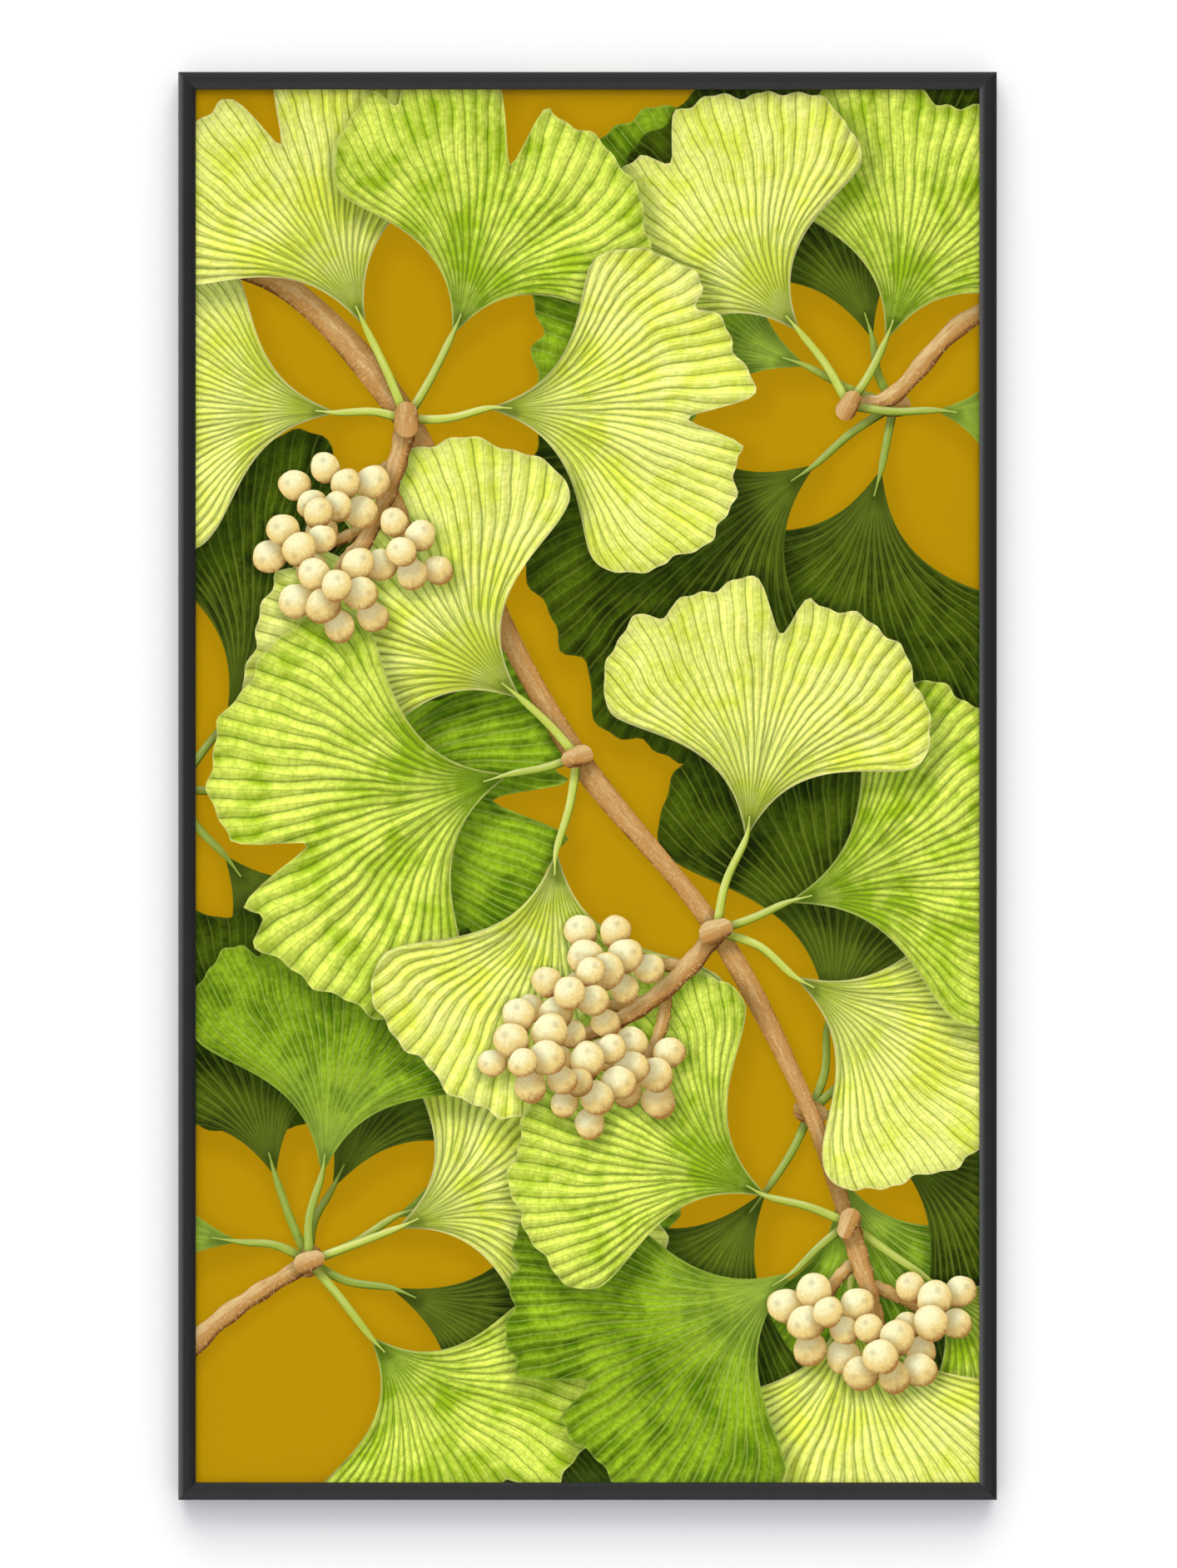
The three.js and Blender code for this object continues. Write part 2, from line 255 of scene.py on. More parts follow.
class Shader(NodeSheet):
    """The node tree of one material."""

    # The Mix node's places for the factor and the two colours, and for the mixed one.
    MIX_FACTOR, MIX_FIRST, MIX_SECOND, MIXED = 0, 6, 7, 2

    def __init__(self, name: str) -> None:
        """Makes the material.

        Args:
            name: The material's name.
        """
        self.material = bpy.data.materials.new(name)
        self.material.use_nodes = True
        super().__init__(self.material.node_tree)

    def step(self, low: Source, high: Source, value: Source) -> Value:
        """Eases from 0 at the low edge to 1 at the high edge."""
        sources = {"Value": value, "From Min": low, "From Max": high}
        return self.value("ShaderNodeMapRange", sources, "Result", interpolation_type="SMOOTHSTEP")

    def blend(self, factor: Source, first: Source, second: Source, how: str = "MIX") -> Value:
        """Mixes two colours: the first alone at a factor of 0, the second at 1."""
        sources = {self.MIX_FACTOR: factor, self.MIX_FIRST: first, self.MIX_SECOND: second}
        return self.value("ShaderNodeMix", sources, self.MIXED, data_type="RGBA", blend_type=how)

    def tint(self, colour: Source, by: Source, amount: Source = 1.0) -> Value:
        """Multiplies one colour by another."""
        return self.blend(amount, colour, by, "MULTIPLY")

    def lit(self, colour: Source, level: Value) -> Value:
        """Multiplies a colour by a level of light."""
        return self.tint(colour, self.vector(level, level, level))

    def ramp(self, place: Source, colours: Sequence[Colour]) -> Value:
        """Reads a ramp of evenly spaced colours.

        Args:
            place: Where it is read, 0 to 1.
            colours: Its colours in order.

        Returns:
            The colour.
        """
        made = self.node("ShaderNodeValToRGB", {0: place})
        stops = made.color_ramp.elements
        for i, colour in enumerate(colours):
            share = i / (len(colours) - 1)
            stop = stops[i] if i < len(stops) else stops.new(share)
            stop.position = share
            stop.color = colour
        return Value(self, made.outputs[0])

    def attribute(self, name: str) -> tuple[Value, ...]:
        """Reads a mesh attribute as three values."""
        return self.parts(self.node("ShaderNodeAttribute", attribute_name=name).outputs["Vector"])

    def behind(self) -> Value:
        """Gives 1 on a face that is seen from behind, and 0 on any other."""
        return self.value("ShaderNodeNewGeometry", {}, "Backfacing")

    def spot(self, texture: Texture, axes: Sequence[Source]) -> Value:
        """Gives where a texture is read.

        Args:
            texture: The texture.
            axes: The three values along its axes, or none for the object's own place.

        Returns:
            The place, stretched as the texture is.
        """
        if axes:
            pairs = zip(axes, texture.stretch)
            return self.vector(*(axis if times == 1 else axis * times for axis, times in pairs))
        here = self.node("ShaderNodeTexCoord").outputs["Object"]
        sources = {"Vector": here, "Scale": texture.stretch}
        return self.value("ShaderNodeMapping", sources, vector_type="POINT")

    def noise(self, texture: Texture, *axes: Source) -> Value:
        """Adds a noise texture.

        Args:
            texture: How fine it is.
            *axes: The three values along its axes, or none for the object's own place.

        Returns:
            The noise, 0 to 1.
        """
        sources = {"Vector": self.spot(texture, axes), "Scale": texture.scale}
        sources |= {"Detail": texture.detail, "Roughness": texture.rough}
        return self.value("ShaderNodeTexNoise", sources, "Fac")

    def bump(self, height: Source, distance: float) -> Value:
        """Turns a height into a surface normal."""
        sources = {"Height": height, "Distance": distance, "Strength": 1.0}
        return self.value("ShaderNodeBump", sources)

    def coat(self, **sources: Source) -> Material:
        """Ends the tree in a Principled surface."""
        inputs = {name.replace("_", " "): source for name, source in sources.items()}
        return self.end(self.value("ShaderNodeBsdfPrincipled", inputs))

    def mixed(self, factor: Source, first: Source, second: Source) -> Material:
        """Ends the tree in a mix of two surfaces."""
        return self.end(self.value("ShaderNodeMixShader", {0: factor, 1: first, 2: second}))

    def end(self, surface: Source) -> Material:
        """Links the surface to the material's output."""
        self.node("ShaderNodeOutputMaterial", {"Surface": surface})
        return self.material


# --- Finishes ---


@dataclass(frozen=True)
class AnodisedSatin:
    """Dark dyed aluminium with fine lines along the extrusion.

    Its lines follow the rail's own map, whose first axis runs along the rail.
    """

    base: Colour = (0.0098, 0.0098, 0.0102, 1.0)
    cloud: Texture = Texture(38)
    cloud_gain: float = 1.18
    lines: Texture = Texture(1.0, stretch=(9, 3000, 1))
    line_height: float = 0.0015 * MM
    roughness: float = 0.26
    roughness_range: float = 0.12
    anisotropy: float = 0.9
    anisotropy_turn: float = 0.25

    def material(self) -> Material:
        """Builds the finish."""
        s = Shader("anodised_satin")
        along, across, _ = s.parts(s.node("ShaderNodeUVMap", uv_map="grain").outputs[0])
        lines = s.noise(self.lines, along, across, 0)
        cloud = s.noise(self.cloud)
        return s.coat(
            Base_Color=s.blend(cloud, self.base, scaled(self.base, self.cloud_gain)),
            Roughness=self.roughness + lines * self.roughness_range,
            Anisotropic=self.anisotropy,
            Anisotropic_Rotation=self.anisotropy_turn,
            Tangent=s.value("ShaderNodeTangent", {}, direction_type="UV_MAP", uv_map="grain"),
            Normal=s.bump(lines, self.line_height),
        )


@dataclass(frozen=True)
class ClearGlass:
    """Coated picture glass: clear, with a weak reflection on its outer sides alone."""

    clear: Colour = (0.992, 0.997, 0.995, 1)
    ior: float = 1.18
    roughness: float = 0.01

    def material(self) -> Material:
        """Builds the finish."""
        s = Shader("clear_glass")
        clear = s.value("ShaderNodeBsdfTransparent", {"Color": self.clear})
        gloss = s.value("ShaderNodeBsdfGlossy", {"Roughness": self.roughness})
        fresnel = s.value("ShaderNodeFresnel", {"IOR": self.ior})
        return s.mixed(fresnel * (1 - s.behind()), clear, gloss)


@dataclass(frozen=True)
class Hardboard:
    """The smooth brown side of pressed board, with fibres and darker flecks."""

    pale: Colour = shade_of(164, 126, 88)
    deep: Colour = shade_of(112, 80, 52)
    fleck: Colour = shade_of(72, 46, 26)
    upright_fibres: Texture = Texture(1500, 5, 0.7, (1, 1, 0.2))
    level_fibres: Texture = Texture(1200, 5, 0.7, (0.2, 1, 1))
    fibre_share: float = 0.6
    fibre_height: float = 0.05 * MM
    cloud: Texture = Texture(9, 4)
    flecks: Texture = Texture(820, 2, stretch=(1, 1, 0.45))
    fleck_edge: Span = (0.65, 0.73)
    fleck_depth: float = 0.34
    roughness: float = 0.62

    def material(self) -> Material:
        """Builds the finish."""
        s = Shader("hardboard")
        fibres = s.noise(self.upright_fibres).at_least(s.noise(self.level_fibres))
        paleness = fibres * self.fibre_share + s.noise(self.cloud) * (1 - self.fibre_share)
        colour = s.blend(paleness, self.deep, self.pale)
        flecks = s.step(*self.fleck_edge, s.noise(self.flecks))
        return s.coat(
            Base_Color=s.blend(flecks * self.fleck_depth, colour, self.fleck),
            Roughness=self.roughness,
            Normal=s.bump(fibres, self.fibre_height),
        )


@dataclass(frozen=True)
class PlatedMetal:
    """A plated steel or brass surface, with faint clouds in its shine."""

    name: str
    base: Colour
    roughness: float
    cloud_scale: float = 160
    grain: Triple = (1, 1, 1)
    dull_share: float = 0.72
    fine_times: float = 12
    smoother_by: float = 0.08
    roughness_range: float = 0.2
    relief: float = 0.01 * MM

    def material(self) -> Material:
        """Builds the finish."""
        s = Shader(self.name)
        cloud = s.noise(Texture(self.cloud_scale, 4, stretch=self.grain))
        fine = s.noise(Texture(self.cloud_scale * self.fine_times, 2, stretch=self.grain))
        return s.coat(
            Base_Color=s.blend(cloud, scaled(self.base, self.dull_share), self.base),
            Metallic=1.0,
            Roughness=(self.roughness - self.smoother_by) + fine * self.roughness_range,
            Normal=s.bump(fine, self.relief),
        )


@dataclass(frozen=True)
class SoftRubber:
    """Matt black rubber with a dusty bloom."""

    deep: Colour = shade_of(24, 24, 25)
    dusty: Colour = shade_of(48, 47, 46)
    bloom: Texture = Texture(420, 4)
    bloom_height: float = 0.03 * MM
    roughness: float = 0.86

    def material(self) -> Material:
        """Builds the finish."""
        s = Shader("soft_rubber")
        bloom = s.noise(self.bloom)
        colour = s.blend(bloom, self.deep, self.dusty)
        normal = s.bump(bloom, self.bloom_height)
        return s.coat(Base_Color=colour, Roughness=self.roughness, Normal=normal)


@dataclass(frozen=True)
class PaperBack:
    """The white back and edges of the printed sheet."""

    deep: Colour = shade_of(232, 230, 224)
    pale: Colour = shade_of(246, 245, 241)
    tooth: Texture = Texture(2600)
    roughness: float = 0.7

    def material(self) -> Material:
        """Builds the finish."""
        s = Shader("paper_back")
        colour = s.blend(s.noise(self.tooth), self.deep, self.pale)
        return s.coat(Base_Color=colour, Roughness=self.roughness)


@dataclass(frozen=True)
class OneSidedPaint:
    """Plain pale paint on a backdrop, clear when seen from behind."""

    name: str
    colour: Colour

    def material(self) -> Material:
        """Builds the finish."""
        s = Shader(self.name)
        paint = s.value("ShaderNodeBsdfDiffuse", {"Color": self.colour})
        return s.mixed(s.behind(), paint, s.value("ShaderNodeBsdfTransparent", {}))


# --- Inks of the printed design ---

FOOT_OPENING = 0.35  # the share of its whole opening that a fan has at its foot
OPEN_BY = 0.75  # where a fan is fully open, in its lengths from the foot


class Ink(Enum):
    """What a face of the printed sheet is printed with, in the order of its slots."""

    GROUND = 0
    FAN = 1
    SEED = 2
    STALK = 3
    BACK = 4


class Tone(Enum):
    """A fan's place between the palest and the darkest green."""

    LIME = 0.0
    FRESH = 0.34
    GREEN = 0.67
    DEEP = 1.0


@dataclass(frozen=True)
class PrintInk:
    """An ink, which other shapes on the sheet may shade."""

    density: float  # the share of the light that the print gives back
    shadow: Colour  # the tint of a full shadow
    shadow_depth: float = 0.9
    roughness: float = 0.7
    gloss: float = 0.02

    def printed(self, s: Shader, colour: Source) -> Material:
        """Shades the ink and ends its tree in a matt surface.

        Args:
            s: The ink's shader.
            colour: The ink's colour out of any shadow.

        Returns:
            The finished material.
        """
        shadow, _, _ = s.attribute("shade")
        colour = s.tint(colour, self.shadow, shadow * self.shadow_depth)
        colour = s.tint(colour, (self.density, self.density, self.density, 1.0))
        return s.coat(Base_Color=colour, Roughness=self.roughness, Specular_IOR_Level=self.gloss)


@dataclass(frozen=True)
class GroundInk(PrintInk):
    """The flat ochre behind the leaves."""

    density: float = 0.765
    shadow: Colour = (0.55, 0.5, 0.42, 1)
    shadow_depth: float = 0.35
    ochre: Colour = shade_of(198, 153, 2)
    cloud: Texture = Texture(5)
    cloud_least: float = 0.95
    cloud_range: float = 0.1

    def material(self) -> Material:
        """Builds the ink."""
        s = Shader("print_ground_ink")
        level = self.cloud_least + s.noise(self.cloud) * self.cloud_range
        return self.printed(s, s.lit(self.ochre, level))


@dataclass(frozen=True)
class Blade:
    """What a fan's ink knows at a point."""

    radius: Value  # the distance from the fan's foot
    vein: Value
    halo: Value  # the deeper green round the veins
    net: Value  # the finest veins, which join the others
    height: Value  # the painted relief


@dataclass(frozen=True)
class FanInk(PrintInk):
    """Fan leaves: forked veins that spread from the stalk, and painted light on them.

    Each ramp holds one colour for each tone, from lime to deep green. Lengths are in the
    fan's own, except round the rim, where they are in millimetres.
    """

    density: float = 0.84
    shadow: Colour = (0.3, 0.36, 0.26, 1)
    pale: Sequence[Colour] = shades_of((255, 255, 146), (242, 251, 108), (156, 190, 34), (78, 98, 10))
    rich: Sequence[Colour] = shades_of((230, 237, 80), (166, 196, 28), (80, 118, 5), (28, 42, 2))
    line: Sequence[Colour] = shades_of((92, 120, 40), (76, 112, 28), (172, 194, 76), (112, 130, 36))
    edge: Sequence[Colour] = shades_of((255, 244, 176), (240, 240, 140), (172, 198, 78), (92, 112, 28))

    ribs: float = 8.0
    rib_width: float = 0.0042
    rib_taper: Span = (1.35, 0.75)
    rib_drift: Texture = Texture(2.4, 2, stretch=(1, 1, 40))
    rib_drift_range: float = 0.9
    fork: Span = (0.22, 0.55)
    late_fork: Span = (0.5, 0.85)
    fork_weight: float = 0.85
    late_fork_weight: float = 0.6
    vein_strength: float = 0.66

    halo_width: float = 0.036
    halo_least: float = 0.25
    halo_strength: float = 0.6
    net_cells: Texture = Texture(1.0, stretch=(2.6, 34, 20))
    net_width: float = 0.16
    net_strength: float = 0.28
    net_tint: Colour = (0.72, 0.8, 0.6, 1)
    mottle: Texture = Texture(5.5, 5, 0.68, (1, 1, 90))
    mottle_edge: Span = (0.38, 0.66)
    mottle_strength: float = 0.5
    foot_reach: float = 0.5
    foot_strength: float = 0.35

    swell: Texture = Texture(1.0, 1, stretch=(0.42, 1.6, 60))
    swell_height: float = 5.5
    fine: Texture = Texture(1.0, stretch=(5, 26, 30))
    fine_height: float = 0.6
    pleat_width: float = 0.03
    pleat_height: float = 0.5
    light_step: float = 0.012
    relief_gain: float = 0.85

    rim_edge: Span = (0.3, 1.5)
    rim_strength: float = 0.5
    round_off_width: float = 9
    round_off_depth: float = 0.2

    def blade(self, s: Shader, x: Value, y: Value, seed: Value) -> Blade:
        """Works out the veins and the relief at a point of the fan.

        Args:
            s: The ink's shader.
            x: Across the fan.
            y: Along its axis.
            seed: The fan's own number.

        Returns:
            What the ink knows there.
        """
        _, spread, bend = s.attribute("traits")
        x = x - bend * (y * y)
        radius = (x * x + y * y).root()
        opening = spread * (FOOT_OPENING + (1 - FOOT_OPENING) * s.step(0, OPEN_BY, radius))
        drift = (s.noise(self.rib_drift, x, y, seed) - 0.5) * self.rib_drift_range
        rib = x.angle_over(y) / opening * self.ribs + drift
        spacing = opening / self.ribs * radius
        widest, taper = self.rib_taper

        def mark(gap: Value, weight: float) -> Value:
            """Draws a vein where the gap, in rib spacings, is small."""
            width = self.rib_width * weight * (widest - radius * taper)
            return (1 - s.step(0, width * 2, gap * spacing)) * weight

        part = rib.fraction()
        first = part.at_most(1 - part)
        second = abs(part - 0.5 * s.step(*self.fork, radius))
        third = abs((rib * 2).fraction() - 0.5 * s.step(*self.late_fork, radius)) * 0.5
        forks = mark(second, self.fork_weight).at_least(mark(third, self.late_fork_weight))
        near = first.at_most(second) * spacing
        cells = {"Vector": s.spot(self.net_cells, (rib, radius, seed)), "Scale": self.net_cells.scale}
        walls = s.value("ShaderNodeTexVoronoi", cells, "Distance", feature="DISTANCE_TO_EDGE")
        pleat = s.step(0, self.pleat_width, near) * self.pleat_height
        fine = s.noise(self.fine, rib, radius, seed) * self.fine_height
        swell = s.noise(self.swell, rib, radius, seed) * radius * self.swell_height
        return Blade(
            radius=radius,
            vein=mark(first, 1.0).at_least(forks),
            halo=1 - s.step(0, self.halo_width, near),
            net=1 - s.step(0, self.net_width, walls),
            height=pleat + fine + swell,
        )

    def green(self, s: Shader, here: Blade, x: Value, y: Value, seed: Value) -> Value:
        """Mixes the fan's greens before the painted light falls on them.

        Args:
            s: The ink's shader.
            here: What the ink knows at this point.
            x: Across the fan.
            y: Along its axis.
            seed: The fan's own number.

        Returns:
            The colour.
        """
        tone, _, _ = s.attribute("traits")
        rich = s.ramp(tone, self.rich)
        patches = s.step(*self.mottle_edge, s.noise(self.mottle, x, y, seed))
        around = here.halo * (self.halo_least + patches * (1 - self.halo_least))
        foot = 1 - s.step(0, self.foot_reach, here.radius)
        depth = patches * self.mottle_strength + around * self.halo_strength
        depth = (depth + foot * self.foot_strength).clamped()
        colour = s.blend(depth, s.ramp(tone, self.pale), rich)
        colour = s.blend(here.net * self.net_strength, colour, s.tint(rich, self.net_tint))
        return s.blend(here.vein * self.vein_strength, colour, s.ramp(tone, self.line))

    def material(self) -> Material:
        """Builds the ink."""
        s = Shader("print_fan_ink")
        x, y, seed = s.attribute("leaf")
        light_x, light_y, _ = s.attribute("lit")
        tone, _, _ = s.attribute("traits")
        _, edge, _ = s.attribute("shade")
        here = self.blade(s, x, y, seed)
        there = self.blade(s, x + light_x * self.light_step, y + light_y * self.light_step, seed)
        colour = self.green(s, here, x, y, seed)
        rim = 1 - s.step(*self.rim_edge, edge)
        colour = s.blend(rim * self.rim_strength, colour, s.ramp(tone, self.edge))
        colour = s.lit(colour, 1.0 + (here.height - there.height) * self.relief_gain)
        round_off = s.step(0, self.round_off_width, edge) * self.round_off_depth
        return self.printed(s, s.lit(colour, (1 - self.round_off_depth) + round_off))


@dataclass(frozen=True)
class SeedInk(PrintInk):
    """Round downy seeds, painted as lit from the upper left."""

    density: float = 0.87
    shadow: Colour = (0.42, 0.34, 0.24, 1)
    deep: Colour = shade_of(162, 114, 56)
    middle: Colour = shade_of(240, 210, 134)
    bright: Colour = shade_of(255, 251, 204)
    scar: Colour = shade_of(168, 128, 70)
    rise_gain: float = 0.62
    facing_gain: float = 0.5
    down: Texture = Texture(5, 5, 0.75, (1, 1, 50))
    down_range: float = 0.85
    dim_seeds: Span = (0.55, 1.0)
    dim_by: float = 0.12
    middle_light: Span = (-0.3, 0.36)
    bright_light: Span = (0.3, 0.85)
    scar_up: float = 0.5
    scar_edge: Span = (0.05, 0.3)
    scar_strength: float = 0.3

    def material(self) -> Material:
        """Builds the ink."""
        s = Shader("print_seed_ink")
        x, y, seed = s.attribute("leaf")
        light_x, light_y, _ = s.attribute("lit")
        rise = (x * x + y * y).dome() * self.rise_gain
        facing = (x * light_x + y * light_y) * self.facing_gain
        down = (s.noise(self.down, x, y, seed) - 0.5) * self.down_range
        light = rise + facing + down - s.step(*self.dim_seeds, seed) * self.dim_by
        scar = 1 - s.step(*self.scar_edge, (x * x + (y - self.scar_up) ** 2).root())
        colour = s.blend(s.step(*self.middle_light, light), self.deep, self.middle)
        colour = s.blend(s.step(*self.bright_light, light), colour, self.bright)
        return self.printed(s, s.blend(scar * self.scar_strength, colour, self.scar))


@dataclass(frozen=True)
class StalkInk(PrintInk):
    """Leaf stalks and woody twigs, round in section.

    Each pair holds the colour of a green stalk and that of a woody one.
    """

    density: float = 0.82
    shadow: Colour = (0.36, 0.34, 0.24, 1)
    dark: Sequence[Colour] = shades_of((104, 120, 30), (112, 66, 26))
    body: Sequence[Colour] = shades_of((196, 208, 84), (198, 146, 80))
    glint: Sequence[Colour] = shades_of((244, 244, 160), (240, 208, 150))
    deep_green: Colour = (0.42, 0.52, 0.4, 1)
    rise_gain: float = 0.6
    shine_gain: float = 0.55
    bark: Texture = Texture(2.2, 5, 0.7, (1.2, 0.22, 70))
    bark_range: float = 0.9
    streaks: Texture = Texture(1.6, 4, 0.65, (6, 0.9, 30))
    streak_range: float = 0.8
    pores: Texture = Texture(1.0, 1, stretch=(2.4, 7, 20))
    pore_edge: Span = (0.6, 0.68)
    pore_strength: float = 0.4
    body_light: Span = (-0.2, 0.45)
    glint_light: Span = (0.45, 1.0)

    def material(self) -> Material:
        """Builds the ink."""
        s = Shader("print_stalk_ink")
        place = s.attribute("leaf")
        across, _, _ = place
        shine, _, _ = s.attribute("lit")
        wood, deep, _ = s.attribute("traits")
        light = (across * across).dome() * self.rise_gain + across * shine * self.shine_gain
        light = light + (s.noise(self.bark, *place) - 0.5) * self.bark_range
        light = light + (s.noise(self.streaks, *place) - 0.5) * wood * self.streak_range
        pores = s.step(*self.pore_edge, s.noise(self.pores, *place)) * wood
        glint = s.blend(wood, *self.glint)
        dark, body = s.blend(wood, *self.dark), s.blend(wood, *self.body)
        colour = s.blend(s.step(*self.body_light, light), dark, body)
        colour = s.blend(s.step(*self.glint_light, light), colour, glint)
        colour = s.blend(pores * self.pore_strength, colour, glint)
        return self.printed(s, s.tint(colour, self.deep_green, deep))


# --- Shapes of the printed design ---

LIGHT = np.array([-0.5, 0.866])  # the painted light comes from the upper left
PHASE = 50  # how far a shape's own number shifts the waves in its outline
NEARLY_NOTHING = 1e-12
INSIDE_RINGS = 1  # has a triangulation leave out what lies outside its rings
GOLDEN_TURN = math.pi * (3 - math.sqrt(5))
LIME, FRESH, GREEN, DEEP = Tone


def smooth(value: Points) -> Points:
    """Eases values from 0 to 1, flat outside that range."""
    t = np.clip(value, 0, 1)
    return t * t * (3 - 2 * t)


def opened(radius: Points) -> Points:
    """Gives how far a fan is open at a radius, as a share of its whole opening."""
    return FOOT_OPENING + (1 - FOOT_OPENING) * smooth(radius / OPEN_BY)


def towards(angle: float) -> Points:
    """Gives the unit vector at an angle from the right."""
    return np.array([math.cos(angle), math.sin(angle)])


def gap_to(points: Points, outline: Points, closed: bool = True) -> tuple[Points, Points, Points]:
    """Measures how far points are from a line of segments.

    Args:
        points: The points, one to a row.
        outline: The line's corners, one to a row.
        closed: Whether the last corner joins the first.

    Returns:
        Each point's distance, the segment that is nearest and the share of it passed.
    """
    start = outline if closed else outline[:-1]
    run = (np.roll(outline, -1, axis=0) if closed else outline[1:]) - start
    offset = points[:, None] - start[None]
    share = np.clip((offset * run).sum(-1) / np.maximum((run * run).sum(-1), NEARLY_NOTHING), 0, 1)
    distance = np.linalg.norm(offset - share[..., None] * run, axis=-1)
    nearest = distance.argmin(1)
    rows = np.arange(len(points))
    return distance[rows, nearest], nearest, share[rows, nearest]


def inside(points: Points, outline: Points) -> Points:
    """Tells which points lie within a closed outline.

    Args:
        points: The points, one to a row.
        outline: The outline's corners.

    Returns:
        Whether each of them does.
    """
    start, end = outline, np.roll(outline, -1, axis=0)
    x, y = points[:, :1], points[:, 1:]
    crosses = (start[:, 1] > y) != (end[:, 1] > y)
    rise = end[:, 1] - start[:, 1]
    at = start[:, 0] + (y - start[:, 1]) * (end[:, 0] - start[:, 0]) / np.where(rise == 0, 1, rise)
    return (crosses & (x < at)).sum(1) % 2 == 1


def rings_of(outlines: Sequence[Sequence]) -> list[list[int]]:
    """Numbers the points of several outlines that stand one after another."""
    ends = np.cumsum([len(outline) for outline in outlines])
    return [list(range(end - len(outline), end)) for outline, end in zip(outlines, ends)]


def triangulated(points: Iterable, rings: list[list[int]], weld: float) -> tuple[list, ...]:
    """Cuts the inside of some rings into triangles, with points, edges, faces and what each comes from."""
    return delaunay_2d_cdt([Vector(p) for p in points], [], rings, INSIDE_RINGS, weld, True)


@dataclass
class Motif:
    """A printed shape with its own axes, in millimetres on the sheet."""

    seed: float  # its own number, 0 to 1
    ink: Ink = Ink.GROUND
    lift: float = 5.0  # how far it seems to stand above what lies under it

    def outline(self) -> Points:
        """Gives the shape's closed outline."""
        raise NotImplementedError

    def leaf(self, points: Points) -> Points:
        """Gives the points in the shape's own axes."""
        raise NotImplementedError

    def lit(self, points: Points) -> Points:
        """Gives the painted light in the shape's own axes."""
        raise NotImplementedError

    def traits(self) -> Triple:
        """Gives the three numbers that its ink reads."""
        return (0.0, 0.0, 0.0)

    def fill(self) -> Points:
        """Gives extra points inside the shape."""
        return np.empty((0, 2))


@dataclass
class TurnedMotif(Motif):
    """A shape that is drawn upright at the size of 1, and then enlarged and turned."""

    at: Point = (0, 0)  # where its own middle or foot lies on the sheet
    turn: float = 0.0  # the angle of its own axis from the right
    size: float = 1.0

    def axes(self) -> Points:
        """Gives the shape's own two axes as rows."""
        c, s = math.cos(self.turn), math.sin(self.turn)
        return np.array([[s, -c], [c, s]])

    def laid(self, own: Points) -> Points:
        """Lays points of the upright shape on the sheet."""
        return np.array(self.at) + own @ self.axes() * self.size

    def leaf(self, points: Points) -> Points:
        """Gives the points as they lie on the upright shape."""
        return (points - self.at) @ self.axes().T / self.size

    def lit(self, points: Points) -> Points:
        """Turns the light into the shape's axes, the same all over."""
        return np.tile(LIGHT @ self.axes().T, (len(points), 1))


@dataclass
class Fan(TurnedMotif):
    """A fan-shaped leaf with a waved and notched margin."""

    ink: Ink = Ink.FAN
    lift: float = 9.0
    waves: tuple[Point, ...] = ((0.020, 11), (0.013, 27), (0.007, 61))  # heights and turns
    notch_at: float = 0.05
    notch_width: float = 0.11
    side_notch_at: float = 0.55
    side_notch_width: float = 0.06
    side_notch_share: float = 0.25
    margin_power: float = 2.4
    side_power: float = 0.8
    side_points: int = 25
    margin_points: int = 150

    tone: Tone = LIME
    spread: float = 1.1
    notch: float = 0.2
    bend: float = 0.0
    shoulder: float = 0.7

    def margin(self, share: Points) -> Points:
        """Gives the margin's radius.

        Args:
            share: Where on the margin, from 1 at one side to -1 at the other.

        Returns:
            The radius at each of those places.
        """
        phase = PHASE * self.seed
        waves = sum(
            height * np.sin(turns * share + (i + 1) * phase) for i, (height, turns) in enumerate(self.waves)
        )
        aside = np.abs(share - self.notch_at * math.sin(phase))
        cleft = self.notch * (1 - smooth(aside / self.notch_width))
        aside = np.abs(share - self.side_notch_at * math.cos(phase))
        side_cleft = self.side_notch_share * self.notch * (1 - smooth(aside / self.side_notch_width))
        rounding = np.maximum(0, 1 - np.abs(share) ** self.margin_power) ** 0.5
        return self.shoulder + (1 - self.shoulder) * rounding + (waves - cleft - side_cleft) * rounding

    def outline(self) -> Points:
        """Draws both sides from the stalk and the margin between them."""
        way = np.linspace(0, 1, self.side_points, endpoint=False)
        side_radius = way**self.side_power * self.shoulder
        side_angle = self.spread * opened(side_radius)
        share = np.sin(np.linspace(1, -1, self.margin_points) * math.pi / 2)
        margin_radius = self.margin(share)
        margin_angle = share * self.spread * opened(margin_radius)
        radius = np.concatenate([side_radius, margin_radius, side_radius[:0:-1]])
        angle = np.concatenate([side_angle, margin_angle, -side_angle[:0:-1]])
        own = np.c_[radius * np.sin(angle), radius * np.cos(angle)]
        own[:, 0] += self.bend * own[:, 1] ** 2
        return self.laid(own)

    def traits(self) -> Triple:
        """Gives the tone, the opening and the bend."""
        return (self.tone.value, self.spread, self.bend)


